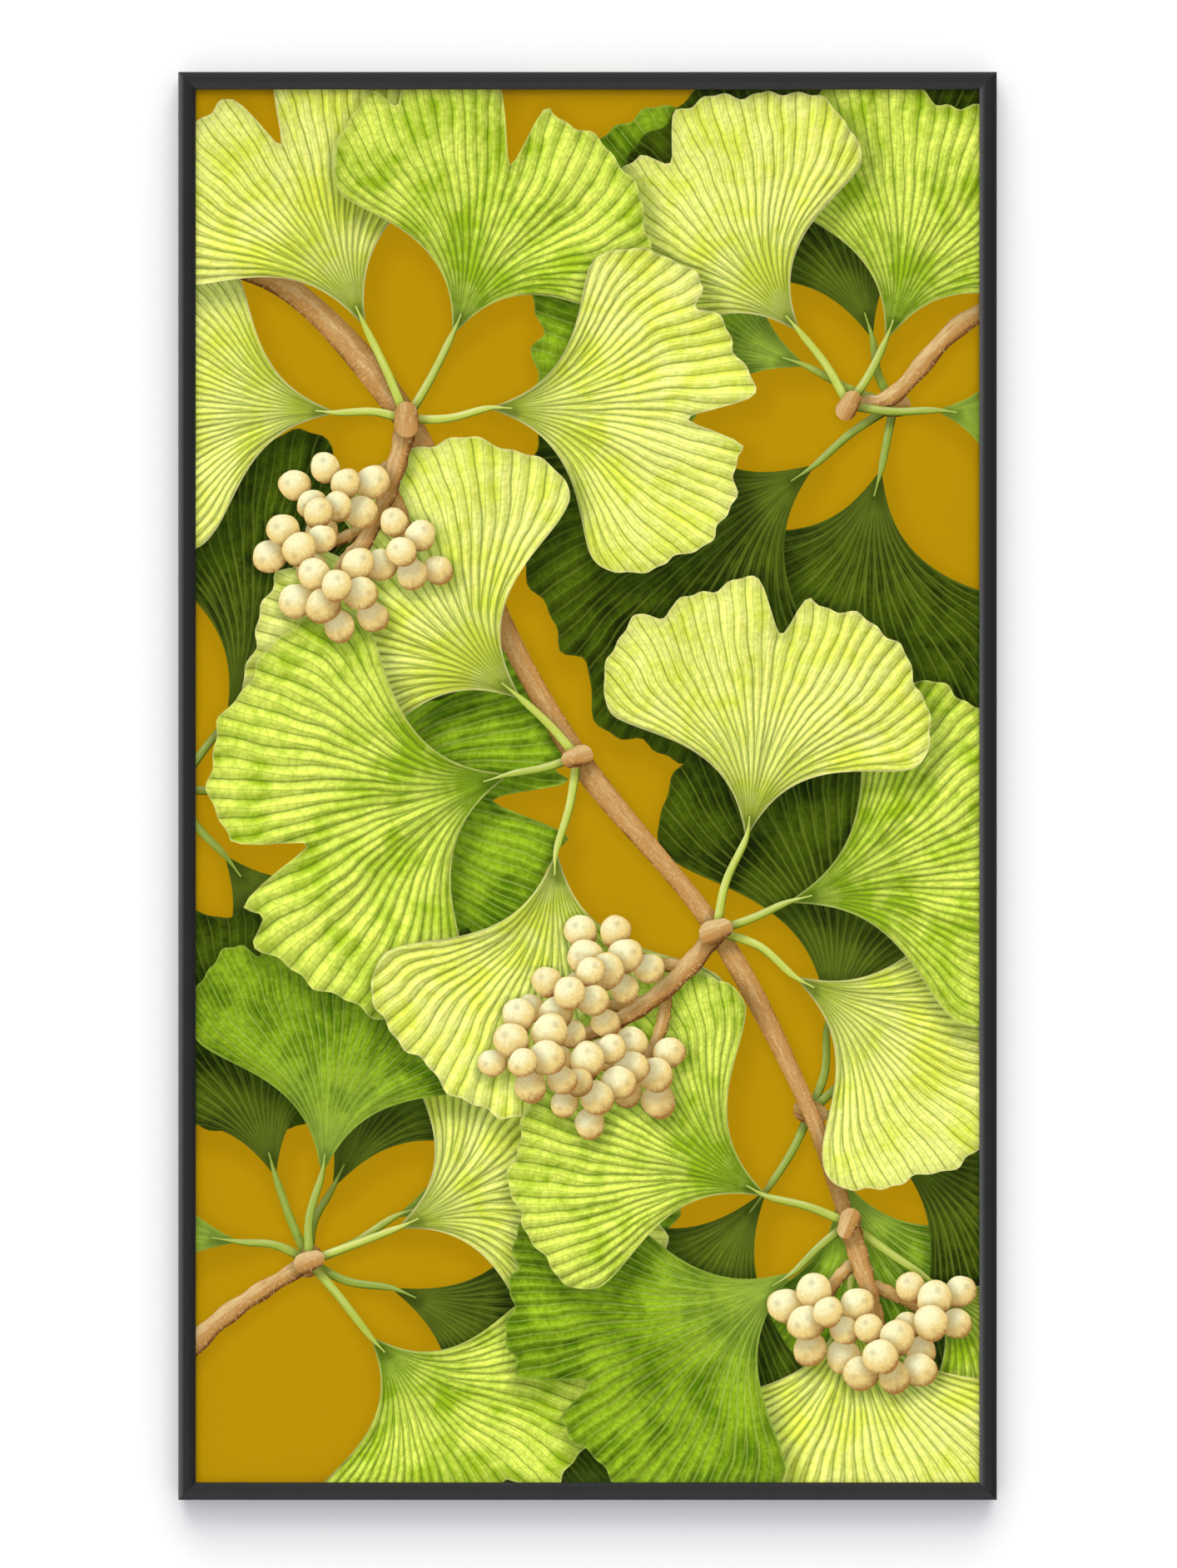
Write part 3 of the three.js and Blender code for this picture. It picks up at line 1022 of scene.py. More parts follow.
@dataclass
class Seed(TurnedMotif):
    """A round seed, a little longer than wide and a little lumpy."""

    ink: Ink = Ink.SEED
    lift: float = 4.5
    halves: Point = (0.94, 1.03)
    lumps: tuple[Triple, ...] = ((0.022, 3, PHASE), (0.014, 5, 90))  # heights, counts, shifts
    rim_points: int = 40
    ring_points: int = 10
    ring_share: float = 0.55

    def outline(self) -> Points:
        """Draws a long circle with low lumps."""
        angle = np.linspace(0, 2 * math.pi, self.rim_points, endpoint=False)
        wide, long = self.halves
        lumps = sum((high * np.sin(n * angle + shift * self.seed) for high, n, shift in self.lumps), 1)
        return self.laid(np.c_[wide * np.cos(angle), long * np.sin(angle)] * lumps[:, None])

    def fill(self) -> Points:
        """Puts a ring and a middle point inside, so that shadows fall smoothly."""
        angle = np.linspace(0, 2 * math.pi, self.ring_points, endpoint=False)
        ring = np.c_[np.cos(angle), np.sin(angle)] * self.size * self.ring_share
        return np.array(self.at) + np.vstack([ring, [[0, 0]]])


@dataclass
class Stalk(Motif):
    """A tapered strip along a curve, round at its ends: a leaf stalk, or a twig."""

    ink: Ink = Ink.STALK
    lift: float = 4.0
    knot_height: float = 0.10
    knot_turns: float = 37
    thinnest: float = 0.3
    cap_points: int = 6
    step: float = 10  # the length that its ink counts as 1

    path: Points = field(default_factory=lambda: np.zeros((2, 2)))
    half_start: float = 3.0
    half_end: float = 2.0
    wood: float = 0.0
    deep: float = 0.0
    fade: float = 0.0  # the share of its length over which it thins out

    def across(self) -> Points:
        """Gives the unit vector to the strip's left at each point of its path."""
        run = np.gradient(self.path, axis=0)
        run /= np.linalg.norm(run, axis=1, keepdims=True)
        return np.c_[-run[:, 1], run[:, 0]]

    def halves(self) -> Points:
        """Gives half the width at each point of the path, swollen here and there."""
        share = np.linspace(0, 1, len(self.path))
        knots = 1 + self.knot_height * self.wood * np.sin(share * self.knot_turns + self.seed * PHASE)
        thin = np.clip((1 - share) / self.fade, self.thinnest, 1) if self.fade else 1.0
        return (self.half_start + (self.half_end - self.half_start) * share) * knots * thin

    def cap(self, end: int) -> Points:
        """Rounds one end of the strip.

        Args:
            end: 0 for the near end, -1 for the far one.

        Returns:
            The points between its two sides, in the outline's order.
        """
        left = self.across()[end]
        ahead = np.array([left[1], -left[0]])
        turn = np.linspace(0, math.pi, self.cap_points + 1)[1:-1, None]
        outwards = (np.sin(turn) * ahead - np.cos(turn) * left) * (1 if end else -1)
        return self.path[end] + self.halves()[end] * outwards

    def outline(self) -> Points:
        """Runs up the right side, round the far end and down the left."""
        reach = self.across() * self.halves()[:, None]
        return np.vstack([self.path - reach, self.cap(-1), (self.path + reach)[::-1], self.cap(0)])

    def leaf(self, points: Points) -> Points:
        """Gives how far across and along the strip the points are.

        Args:
            points: The points, one to a row.

        Returns:
            From -1 to 1 across, and the length along in steps.
        """
        _, nearest, share = gap_to(points, self.path, closed=False)
        lengths = np.linalg.norm(np.diff(self.path, axis=0), axis=1)
        along = np.concatenate([[0], np.cumsum(lengths)])[nearest] + share * lengths[nearest]
        side = self.across()
        foot = self.path[nearest] + share[:, None] * (self.path[nearest + 1] - self.path[nearest])
        left = side[nearest] * (1 - share[:, None]) + side[nearest + 1] * share[:, None]
        half = np.interp(nearest + share, np.arange(len(self.path)), self.halves())
        return np.c_[((points - foot) * left).sum(1) / half, along / self.step]

    def lit(self, points: Points) -> Points:
        """Gives how much the strip's left side faces the light."""
        _, nearest, _ = gap_to(points, self.path, closed=False)
        return np.c_[self.across()[nearest] @ LIGHT, np.zeros(len(points))]

    def traits(self) -> Triple:
        """Gives how woody it is, and how deep its green."""
        return (self.wood, self.deep, 0.0)


def bowed(start: Points, end: Points, bow: float, count: int = 14) -> Points:
    """Draws a line between two points that bows to its left.

    Args:
        start: The first point.
        end: The last point.
        bow: How far the middle stands aside, as a share of the length.
        count: How many points it has.

    Returns:
        The points.
    """
    run = end - start
    middle = (start + end) / 2 + bow * 2 * np.array([-run[1], run[0]])
    t = np.linspace(0, 1, count)[:, None]
    return (1 - t) ** 2 * start + 2 * t * (1 - t) * middle + t * t * end


def through(points: Sequence[Point], count: int) -> Points:
    """Runs a smooth line through chosen points.

    Args:
        points: The chosen points.
        count: How many points the line has.

    Returns:
        The line's points.
    """
    p = np.array(points, float)
    p = np.vstack([2 * p[0] - p[1], p, 2 * p[-1] - p[-2]])
    at = np.linspace(0, len(points) - 1 - 1e-9, count)  # stops just short of the last point
    k = at.astype(int)
    t = (at - k)[:, None]
    a, b, c, d = p[k], p[k + 1], p[k + 2], p[k + 3]
    return 0.5 * (2 * b + (c - a) * t + (2 * a - 5 * b + 4 * c - d) * t**2 + (3 * b - a - 3 * c + d) * t**3)


@dataclass(frozen=True)
class Spray:
    """A spur with fans on long stalks and, for some, a bunch of seeds."""

    at: Point  # the spur, from the sheet's lower middle
    heading: float  # the middle fan's direction, in degrees from the right
    sweep: float  # the angle that the fans cover
    reaches: tuple[float, ...]  # each fan's length, in the order that they are laid down
    tones: tuple[Tone, ...]  # each fan's tone, taken in turn
    stalk: float = 46.0
    heads: int = 0  # how many heads of seeds hang from it
    hang: float = -90.0  # which way they hang, in degrees
    drop: float = 96.0  # how far they hang
    stem_points: int = 20
    bare_stem: float = 0.34
    headed_stem: float = 0.66
    head_aside: float = 27
    head_ahead: float = 12
    seed_spacing: float = 9.2

    def motifs(self, draw: Draw) -> Iterable[Motif]:
        """Lays out the spray from the back to the front.

        Args:
            draw: The seeded random draw.

        Yields:
            Its shapes in order.
        """
        count = len(self.reaches)
        order = sorted(range(count), key=lambda i: (i * 7 + 3) % count)  # mixes the places up
        for place, reach in zip(order, self.reaches):
            share = (place + 0.5) / count - 0.5
            angle = math.radians(self.heading + share * self.sweep + draw.uniform(-6, 6))
            length = self.stalk * draw.uniform(0.8, 1.25)
            base = self.at + length * towards(angle)
            turn = angle + draw.uniform(-0.16, 0.16)
            seed = draw.uniform()
            bow = draw.uniform(-0.1, 0.1)
            tone = self.tones[place % len(self.tones)]
            yield Fan(
                seed,
                at=base,
                turn=turn,
                size=reach,
                tone=tone,
                spread=draw.uniform(0.86, 1.16),
                notch=draw.uniform(0.05, 0.3),
                bend=draw.uniform(-0.16, 0.16),
                shoulder=draw.uniform(0.64, 0.76),
            )
            run = base - self.at
            middle = self.at + (run / 2 + bow * np.array([-run[1], run[0]]))
            tip = base + 0.09 * reach * towards(turn)  # a little way up the blade
            path = through((self.at, middle, base, tip), 22)
            yield Stalk(seed, path=path, half_start=2.7, half_end=1.7, fade=0.4, deep=0.8 * tone.value)

    def stub(self, draw: Draw) -> Motif:
        """Makes the short woody stub that the stalks come out of.

        Args:
            draw: The seeded random draw.

        Returns:
            The stub.
        """
        ahead = towards(math.radians(self.heading))
        path = bowed(self.at - 3 * ahead, self.at + 4 * ahead, 0, 3)
        return Stalk(draw.uniform(), path=path, half_start=6.8, half_end=5.8, wood=1.0)

    def bunch(self, draw: Draw) -> Iterable[Motif]:
        """Hangs the seeds in close heads along a woody stem.

        Args:
            draw: The seeded random draw.

        Yields:
            The branches and the stem, then each head's seeds from its rim inwards.
        """
        if not self.heads:
            return
        ahead = towards(math.radians(self.hang))
        left = np.array([-ahead[1], ahead[0]])
        stem = bowed(self.at, self.at + self.drop * ahead, draw.uniform(-0.12, 0.12), self.stem_points)
        main = Stalk(draw.uniform(), path=stem, half_start=6.2, half_end=4.2, wood=1.0)
        middles = []
        for i in range(self.heads):
            share = self.bare_stem + self.headed_stem * (i + 1) / self.heads
            foot = int(share * (self.stem_points - 1))
            aside = self.head_aside if i % 2 else -self.head_aside
            aside = 0 if i == self.heads - 1 else aside * draw.uniform(0.85, 1.2)
            middle = stem[foot] + left * aside + ahead * self.head_ahead
            middles.append(middle)
            seed = draw.uniform()
            path = bowed(stem[max(0, foot - 4)], middle, draw.uniform(-0.15, 0.15))
            yield Stalk(seed, path=path, half_start=4.2, half_end=3.2, wood=0.95)
        yield main
        for middle in middles:
            count, start = int(draw.integers(6, 9)), draw.uniform(0, 6)
            for k in range(count, 0, -1):
                angle = start + k * GOLDEN_TURN
                place = middle + self.seed_spacing * math.sqrt(k - 0.75) * towards(angle)
                yield Seed(draw.uniform(), at=place, size=draw.uniform(8.2, 10.8), turn=angle)


@dataclass(frozen=True)
class Branch:
    """A woody branch that comes in from the sheet's edge."""

    path: tuple[Point, ...]
    half: float
    count: int = 30
    half_end: float = 4.5

    def motif(self, draw: Draw) -> Motif:
        """Draws the branch."""
        path = through(self.path, self.count)
        return Stalk(draw.uniform(), path=path, half_start=self.half, half_end=self.half_end, wood=1.0)


BOUGH = ((-262, 716), (-176, 690), (-104, 612), (-62, 520), (-6, 418), (74, 318), (128, 214), (150, 150))


@dataclass
class LeafDesign:
    """The printed design: sprays of fan leaves and seeds along a bough, on ochre."""

    seed: int = 11
    grid: float = 5.0  # the spacing of the points that carry the painted shadows
    back: tuple[Spray, ...] = (
        Spray((-236, 400), 0, 150, (170, 180, 170), (DEEP, GREEN)),
        Spray((-160, 128), 70, 230, (166, 184, 170, 172, 160), (DEEP, GREEN, DEEP)),
        Spray((176, 620), 185, 210, (176, 184, 170, 176), (DEEP, GREEN, DEEP)),
        Spray((128, 214), -20, 260, (170, 184, 170, 176, 168), (DEEP, GREEN, DEEP, DEEP)),
    )
    branches: tuple[Branch, ...] = (
        Branch(((262, 690), (214, 666), (176, 626), (150, 620)), 6.0),
        Branch(((-262, 40), (-214, 92), (-160, 128)), 7.0),
        Branch(BOUGH, 8.5, count=120),
    )
    front: tuple[Spray, ...] = (
        Spray((150, 620), 60, 180, (136, 148, 142), (GREEN, FRESH, LIME)),
        Spray((-160, 128), 20, 200, (140, 150, 144), (FRESH, LIME, GREEN)),
        Spray((-104, 612), 92, 220, (140, 156, 146, 150), (LIME, FRESH, LIME), heads=4, hang=-112),
        Spray((-6, 418), 196, 170, (160, 172, 156), (LIME, FRESH, LIME)),
        Spray((74, 318), 22, 150, (150, 164, 146), (LIME, FRESH, LIME), heads=5, hang=-146, drop=118),
        Spray((150, 150), -112, 220, (146, 158, 164, 150), (FRESH, GREEN, LIME), heads=3, hang=-74, drop=70),
    )

    def motifs(self) -> list[Motif]:
        """Lays the whole design out from the back to the front."""
        draw = np.random.default_rng(self.seed)
        stubs = np.random.default_rng(self.seed + 1)
        laid: list[Motif] = []
        for spray in self.back:
            laid.extend(spray.motifs(draw))
            laid.append(spray.stub(stubs))
        laid.extend(branch.motif(draw) for branch in self.branches)
        for spray in self.front:
            laid.extend(spray.motifs(draw))
        for spray in self.front:
            laid.extend(spray.bunch(draw))
        laid.extend(spray.stub(stubs) for spray in self.front)
        return laid

    def border(self, half: float, low: float, high: float) -> Points:
        """Walks round the sheet's edge in even steps.

        Args:
            half: Half the sheet's width.
            low: Its lower edge.
            high: Its upper edge.

        Returns:
            The edge's points.
        """
        wide = np.linspace(-half, half, int(2 * half / self.grid))[:-1]
        tall = np.linspace(low, high, int((high - low) / self.grid))[:-1]
        return np.vstack([
            np.c_[wide, np.full(len(wide), low)],
            np.c_[np.full(len(tall), half), tall],
            np.c_[-wide, np.full(len(wide), high)],
            np.c_[np.full(len(tall), -half), high + low - tall],
        ])


@dataclass
class Partition:
    """The sheet's front cut into triangles, each owned by the topmost shape on it."""

    border: Points
    motifs: list[Motif]
    grid: float
    points: Points = field(init=False)
    triangles: Points = field(init=False)
    owner: Points = field(init=False)

    weld: float = 1e-4
    row: float = 0.866
    inset: float = 0.6
    shift: float = 0.8  # in lifts, like the next three
    fade: float = 1.5
    touch: float = 0.7
    reach: float = 3.2
    cast_depth: float = 0.75
    touch_depth: float = 0.45
    edge_reach: float = 20

    def __post_init__(self) -> None:
        """Cuts the sheet along every outline."""
        outlines = [self.border] + [m.outline() for m in self.motifs]
        loose = [self.lattice()] + [m.fill() for m in self.motifs]
        flat = np.vstack(outlines + loose)
        made, _, faces, _, _, homes = triangulated(flat, rings_of(outlines), self.weld)
        kept = [i for i, home in enumerate(homes) if 0 in home and len(faces[i]) == 3]
        triangles = np.array([faces[i] for i in kept])
        self.owner = np.array([max(homes[i]) for i in kept])
        used, inverse = np.unique(triangles, return_inverse=True)
        self.points = np.array([made[i][:] for i in used])
        self.triangles = inverse.reshape(triangles.shape)

    def lattice(self) -> Points:
        """Gives an even lattice of points inside the border."""
        margin = self.grid * self.inset
        low, high = self.border.min(0) + margin, self.border.max(0) - margin
        x = np.arange(low[0], high[0], self.grid)
        y = np.arange(low[1], high[1], self.grid * self.row)
        wide, tall = np.meshgrid(x, y)
        wide = wide + (np.arange(len(y))[:, None] % 2) * self.grid / 2
        inner = np.c_[wide.ravel(), tall.ravel()]
        return inner[inner[:, 0] < high[0]]

    def shadows(self, points: Points, above: Iterable[Motif]) -> Points:
        """Paints the soft shadows that shapes above cast on points.

        Args:
            points: The points.
            above: The shapes that lie over them.

        Returns:
            Each point's shadow, 0 to 1.
        """
        clear = np.ones(len(points))
        for motif in above:
            outline = motif.outline()
            margin = self.reach * motif.lift
            near = ((points > outline.min(0) - margin) & (points < outline.max(0) + margin)).all(1)
            if not near.any():
                continue
            shifted = points[near] + LIGHT * motif.lift * self.shift
            gap = gap_to(shifted, outline)[0] * ~inside(shifted, outline)
            cast = 1 - smooth(gap / (self.fade * motif.lift))
            touch = 1 - smooth(gap_to(points[near], outline)[0] / (self.touch * motif.lift))
            clear[near] *= (1 - self.cast_depth * cast) * (1 - self.touch_depth * touch)
        return 1 - clear

    def attributes(self) -> dict[str, Points]:
        """Works out what the inks read at each corner of each triangle.

        Returns:
            Name to values, one row for each corner.
        """
        corners = self.triangles.ravel()
        owners = np.repeat(self.owner, 3)
        made = {name: np.zeros((len(corners), 3)) for name in ("leaf", "lit", "traits", "shade")}
        for owner in np.unique(owners):
            rows = owners == owner
            used, back = np.unique(corners[rows], return_inverse=True)
            at = self.points[used]
            made["shade"][rows, 0] = self.shadows(at, self.motifs[owner:])[back]
            if owner == 0:
                continue
            motif = self.motifs[owner - 1]
            edge = np.minimum(gap_to(at, motif.outline())[0], self.edge_reach)
            made["leaf"][rows, :2] = motif.leaf(at)[back]
            made["leaf"][rows, 2] = motif.seed
            made["lit"][rows, :2] = motif.lit(at)[back]
            made["traits"][rows] = motif.traits()
            made["shade"][rows, 1] = edge[back]
        return made


# --- Meshes ---


def mesh_piece(name: str, points: Iterable, faces: Iterable, materials: Iterable[Material]) -> Piece:
    """Makes an object of points and faces.

    Args:
        name: The piece's name.
        points: Its points.
        faces: Its faces, as lists of points.
        materials: Its materials.

    Returns:
        The object, linked to the scene.
    """
    mesh = bpy.data.meshes.new(name)
    mesh.from_pydata([tuple(map(float, p)) for p in points], [], [tuple(map(int, f)) for f in faces])
    for material in materials:
        mesh.materials.append(material)
    piece = bpy.data.objects.new(name, mesh)
    bpy.context.scene.collection.objects.link(piece)
    return piece


def soften(piece: Piece, degrees: float = 35) -> None:
    """Shades a piece smooth, except across edges sharper than an angle."""
    piece.data.shade_smooth()
    piece.data.set_sharp_from_angle(angle=math.radians(degrees))


def keep(piece: Piece, nodes: Sequence[str]) -> None:
    """Fixes a finished piece to the frame.

    Args:
        piece: The piece.
        nodes: The CAD nodes that it stands for.
    """
    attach(piece, BODY)
    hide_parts(*nodes)


def corner_of(at: Point, radius: float, before: Point, after: Point, count: int = 4) -> list[Point]:
    """Rounds one corner of an outline.

    Args:
        at: The corner.
        radius: Its radius, 0 to leave it sharp.
        before: The outline's point before it.
        after: The point after it.
        count: How many segments the arc has.

    Returns:
        The points that take the corner's place.
    """
    if radius <= 0:
        return [at]
    corner, a, b = Vector(at), Vector(before), Vector(after)
    to_a, to_b = (a - corner).normalized(), (b - corner).normalized()
    half = to_a.angle(to_b) / 2
    centre = corner + (to_a + to_b).normalized() * (radius / math.sin(half))
    reach = radius / math.tan(half)
    start, end = corner + to_a * reach - centre, corner + to_b * reach - centre
    full = start.angle_signed(end)
    points = []
    for i in range(count + 1):
        turn = -full * i / count
        c, s = math.cos(turn), math.sin(turn)
        points.append((centre.x + c * start.x - s * start.y, centre.y + s * start.x + c * start.y))
    return points


def rounded(corners: Sequence[Triple]) -> list[Point]:
    """Rounds each corner of a closed outline by its own radius.

    Args:
        corners: Each corner's place and radius.

    Returns:
        The outline's points.
    """
    made = []
    for i, (x, y, radius) in enumerate(corners):
        before, after = corners[i - 1][:2], corners[(i + 1) % len(corners)][:2]
        made.extend(corner_of((x, y), radius, before, after))
    return made


# --- The section frame ---


@dataclass
class SectionFrame:
    """Four mitred rails of one extruded section."""

    face: float = 10 * MM
    depth: float = 20 * MM
    wall: float = 1.3 * MM
    crown_width: float = 4 * MM
    crown_drop: float = 2 * MM
    lip_back: float = 3.2 * MM
    web_front: float = 14 * MM
    web_back: float = 15.2 * MM
    rim_front: float = 18.8 * MM
    slot_near: float = 3.3 * MM
    slot_far: float = 6.7 * MM
    front_round: float = 0.45 * MM
    sight_round: float = 0.35 * MM
    edge_round: float = 0.2 * MM
    back_round: float = 0.3 * MM
    slot_round: float = 0.1 * MM
    tip_cut: float = 0.2 * MM  # what a rail's solid lacks at each pointed tip
    mitre_gap: float = 0.04 * MM
    crown_steps: int = 14
    crease: float = 22  # in degrees; a sharper edge isn't shaded smooth

    def section(self) -> list[Point]:
        """Draws the section: across from the outer side, and back from the front."""
        f, w, d = self.face, self.wall, self.depth
        edge, slot = self.edge_round, self.slot_round
        corners = [(0, self.crown_drop, self.front_round)]
        for i in range(1, self.crown_steps + 1):
            t = i / self.crown_steps
            corners.append((self.crown_width * t, self.crown_drop * (1 - t) ** 2, 0))
        for i in range(self.crown_steps):
            t = i / self.crown_steps
            corners.append((f - self.crown_width * (1 - t), self.crown_drop * t**2, 0))
        corners += [
            (f, self.crown_drop, self.sight_round),
            (f, self.lip_back, edge),
            (w, self.lip_back, 0),
            (w, self.web_front, 0),
            (f, self.web_front, edge),
            (f, d, self.back_round),
            (self.slot_far, d, edge),
            (self.slot_far, self.rim_front, slot),
            (f - w, self.rim_front, 0),
            (f - w, self.web_back, 0),
            (w, self.web_back, 0),
            (w, self.rim_front, 0),
            (self.slot_near, self.rim_front, slot),
            (self.slot_near, d, edge),
            (0, d, self.back_round),
        ]
        return rounded(corners)

    def rail(self, side: str, inward: Vector, along: Vector, finish: Material) -> Piece:
        """Builds one rail in its node's place.

        Args:
            side: The rail's side of the frame.
            inward: The way towards the picture.
            along: The rail's own direction.
            finish: Its material.

        Returns:
            The rail.
        """
        node = f"rail_{side}"
        low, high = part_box(node)
        middle = (low + high) / 2
        span = abs((high - low).dot(along)) / 2 + self.tip_cut
        outer = middle - inward * self.face / 2
        front = low.y - middle.y
        section = self.section()
        count = len(section)
        points = []
        for end in (-1, 1):
            for across, back in section:
                length = end * (span - across - self.mitre_gap)
                points.append(outer + inward * across + along * length + Vector((0, front + back, 0)))
        faces = [[i, (i + 1) % count, count + (i + 1) % count, count + i] for i in range(count)]
        faces += [list(range(count))[::-1], list(range(count, 2 * count))]
        piece = mesh_piece(f"{side}_rail", points, faces, [finish])
        self.map_grain(piece, section, along)
        return piece

    def map_grain(self, piece: Piece, section: list[Point], along: Vector) -> None:
        """Maps a rail along its length and round its section.

        Args:
            piece: The rail.
            section: Its section.
            along: Its own direction.
        """
        steps = [0.0]
        for a, b in zip(section, section[1:] + section[:1]):
            steps.append(steps[-1] + math.dist(a, b))
        grain = piece.data.uv_layers.new(name="grain")
        count = len(section)
        for polygon in piece.data.polygons:
            wall = polygon.index < count
            for corner, loop in enumerate(polygon.loop_indices):
                vertex = piece.data.loops[loop].vertex_index
                reach = piece.data.vertices[vertex].co.dot(along)
                step = polygon.index + (corner in (1, 2)) if wall else vertex % count
                grain.data[loop].uv = (reach, steps[step])

    def build(self, finish: Material) -> None:
        """Builds and dresses the four rails.

        Args:
            finish: Their material.
        """
        x, z = Vector((1, 0, 0)), Vector((0, 0, 1))
        sides = {"left": (x, z), "top": (-z, x), "right": (-x, -z), "bottom": (z, -x)}
        for side, (inward, along) in sides.items():
            piece = self.rail(side, inward, along, finish)
            piece.data.validate()
            soften(piece, self.crease)
            keep(piece, [f"rail_{side}"])
            LOG.info("rail %s: %d faces", side, len(piece.data.polygons))


# --- The pack: glass, print and board ---


@dataclass
class PicturePack:
    """The sheets that the rails' front channel holds."""

    design: LeafDesign = field(default_factory=LeafDesign)
    half_sight: float = 400 * MM  # the design starts at the foot of the opening
    edge: float = 0.3 * MM
    weld: float = 1e-6
    map_back: float = 0.04  # the back's share of the map, beside the front
    map_margin: float = 0.002
    map_gap: float = 0.01
    map_fill: float = 0.8
    map_edge: float = 0.4
    map_edge_depth: float = 0.3

    def sheet(self, name: str, node: str, finish: Material) -> Piece:
        """Builds a plain sheet with eased edges in its node's place.

        Args:
            name: The piece's name.
            node: Its node.
            finish: Its material.

        Returns:
            The sheet.
        """
        low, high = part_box(node)
        piece = mesh_piece(name, [], [], [finish])
        shape = bmesh.new()
        bmesh.ops.create_cube(shape, size=1)
        for vertex in shape.verts:
            vertex.co = Vector((low + high) / 2) + Vector([c * s for c, s in zip(vertex.co, high - low)])
        bmesh.ops.bevel(shape, geom=shape.edges[:], offset=self.edge, segments=2, affect="EDGES")
        shape.to_mesh(piece.data)
        shape.free()
        soften(piece)
        return piece

    def printed(self) -> Piece:
        """Builds the printed sheet, its front cut along the design's outlines.

        Returns:
            The sheet.
        """
        low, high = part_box("print")
        sight = (low.z + high.z) / 2 - self.half_sight
        half = (high.x - low.x) / 2 / MM
        border = self.design.border(half, (low.z - sight) / MM, (high.z - sight) / MM)
        cut = Partition(border, self.design.motifs(), self.design.grid)
        rim = self.rim(cut.triangles)
        front = [(p[0] * MM, low.y, sight + p[1] * MM) for p in cut.points]
        points = front + [(p[0] * MM, high.y, sight + p[1] * MM) for p in cut.points[rim]]
        start, count = len(front), len(rim)
        faces = [list(t) for t in cut.triangles]
        faces += [[start + i for i in face] for face in self.rear(cut.points[rim])]
        for i in range(count):
            j = (i + 1) % count
            faces.append([rim[j], rim[i], start + i, start + j])
        inks = [GroundInk(), FanInk(), SeedInk(), StalkInk(), PaperBack()]
        piece = mesh_piece("printed_sheet", points, faces, [ink.material() for ink in inks])
        self.write(piece, cut)
        self.unwrap(piece, len(cut.triangles), low, high)
        return piece

    def rim(self, triangles: Points) -> list[int]:
        """Finds the loop of points round the front, in the triangles' own turn.

        Args:
            triangles: The front's triangles.

        Returns:
            The points in order.
        """
        edges = [pair for a, b, c in triangles.tolist() for pair in ((a, b), (b, c), (c, a))]
        known = set(edges)
        following = {a: b for a, b in edges if (b, a) not in known}
        first = next(iter(following))
        loop = [first]
        while following[loop[-1]] != first:
            loop.append(following[loop[-1]])
        return loop

    def rear(self, rim: Points) -> list[list[int]]:
        """Closes the back with a few large triangles."""
        _, _, faces, origins, _, _ = triangulated(rim, rings_of([rim]), self.weld)
        return [[origins[i][0] for i in face][::-1] for face in faces]

    def write(self, piece: Piece, cut: Partition) -> None:
        """Writes each face's ink and what the inks read.

        Args:
            piece: The printed sheet.
            cut: Its front.
        """
        mesh = piece.data
        slots = np.full(len(mesh.polygons), Ink.BACK.value)
        inks = np.array([Ink.GROUND.value] + [m.ink.value for m in cut.motifs])
        slots[: len(cut.owner)] = inks[cut.owner]
        mesh.polygons.foreach_set("material_index", slots)
        for name, values in cut.attributes().items():
            full = np.zeros((len(mesh.loops), 3))
            full[: len(values)] = values
            made = mesh.attributes.new(name, "FLOAT_VECTOR", "CORNER")
            made.data.foreach_set("vector", full.ravel())

    def unwrap(self, piece: Piece, front: int, low: Vector, high: Vector) -> None:
        """Maps the front over most of the square, and the back and edges beside it.

        Args:
            piece: The printed sheet.
            front: How many of its faces are the front.
            low: The sheet's lowest corner.
            high: Its highest corner.
        """
        uv = piece.data.uv_layers.new(name="OFBake")
        wide, tall = high.x - low.x, high.z - low.z
        share = 1 - 2 * self.map_back
        tall_share = 1 - 2 * self.map_margin
        for polygon in piece.data.polygons:
            for loop in polygon.loop_indices:
                co = piece.data.vertices[piece.data.loops[loop].vertex_index].co
                u, v = (co.x - low.x) / wide, (co.z - low.z) / tall
                if polygon.index < front:
                    uv.data[loop].uv = (self.map_margin + u * share, self.map_margin + v * tall_share)
                elif abs(polygon.normal.y) > 0.5:
                    uv.data[loop].uv = (share + self.map_gap + u * self.map_back * self.map_fill, v)
                else:
                    depth = (co.y - low.y) / (high.y - low.y)
                    aside = self.map_back * (self.map_edge - self.map_edge_depth * depth)
                    uv.data[loop].uv = (1 - aside, v if abs(polygon.normal.x) > 0.5 else u)

    def build(self, glass: Material, board: Material) -> None:
        """Builds and dresses the three sheets.

        Args:
            glass: The glazing's material.
            board: The backing board's material.
        """
        keep(self.sheet("glass_pane", "glazing", glass), ["glazing"])
        keep(self.sheet("hardboard_back", "backing_board", board), ["backing_board"])
        piece = self.printed()
        keep(piece, ["print"])
        LOG.info("printed sheet: %d faces", len(piece.data.polygons))


# --- Repeated hardware ---

FACING_BACK = (-math.pi / 2, 0.0, 0.0)  # a shape's own Z turned to +Y
FACING_BACK_UPRIGHT = (-math.pi / 2, math.pi / 2, 0.0)  # the same, with its length upright


def middle_of(node: str) -> Vector:
    """Gives the middle of a node's box."""
    low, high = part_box(node)
    return (low + high) / 2


def nodes_of(family: str) -> list[str]:
    """Gives the names of the nodes that start alike, in order."""
    return sorted(name for name in frame["nodes"] if name.startswith(family))


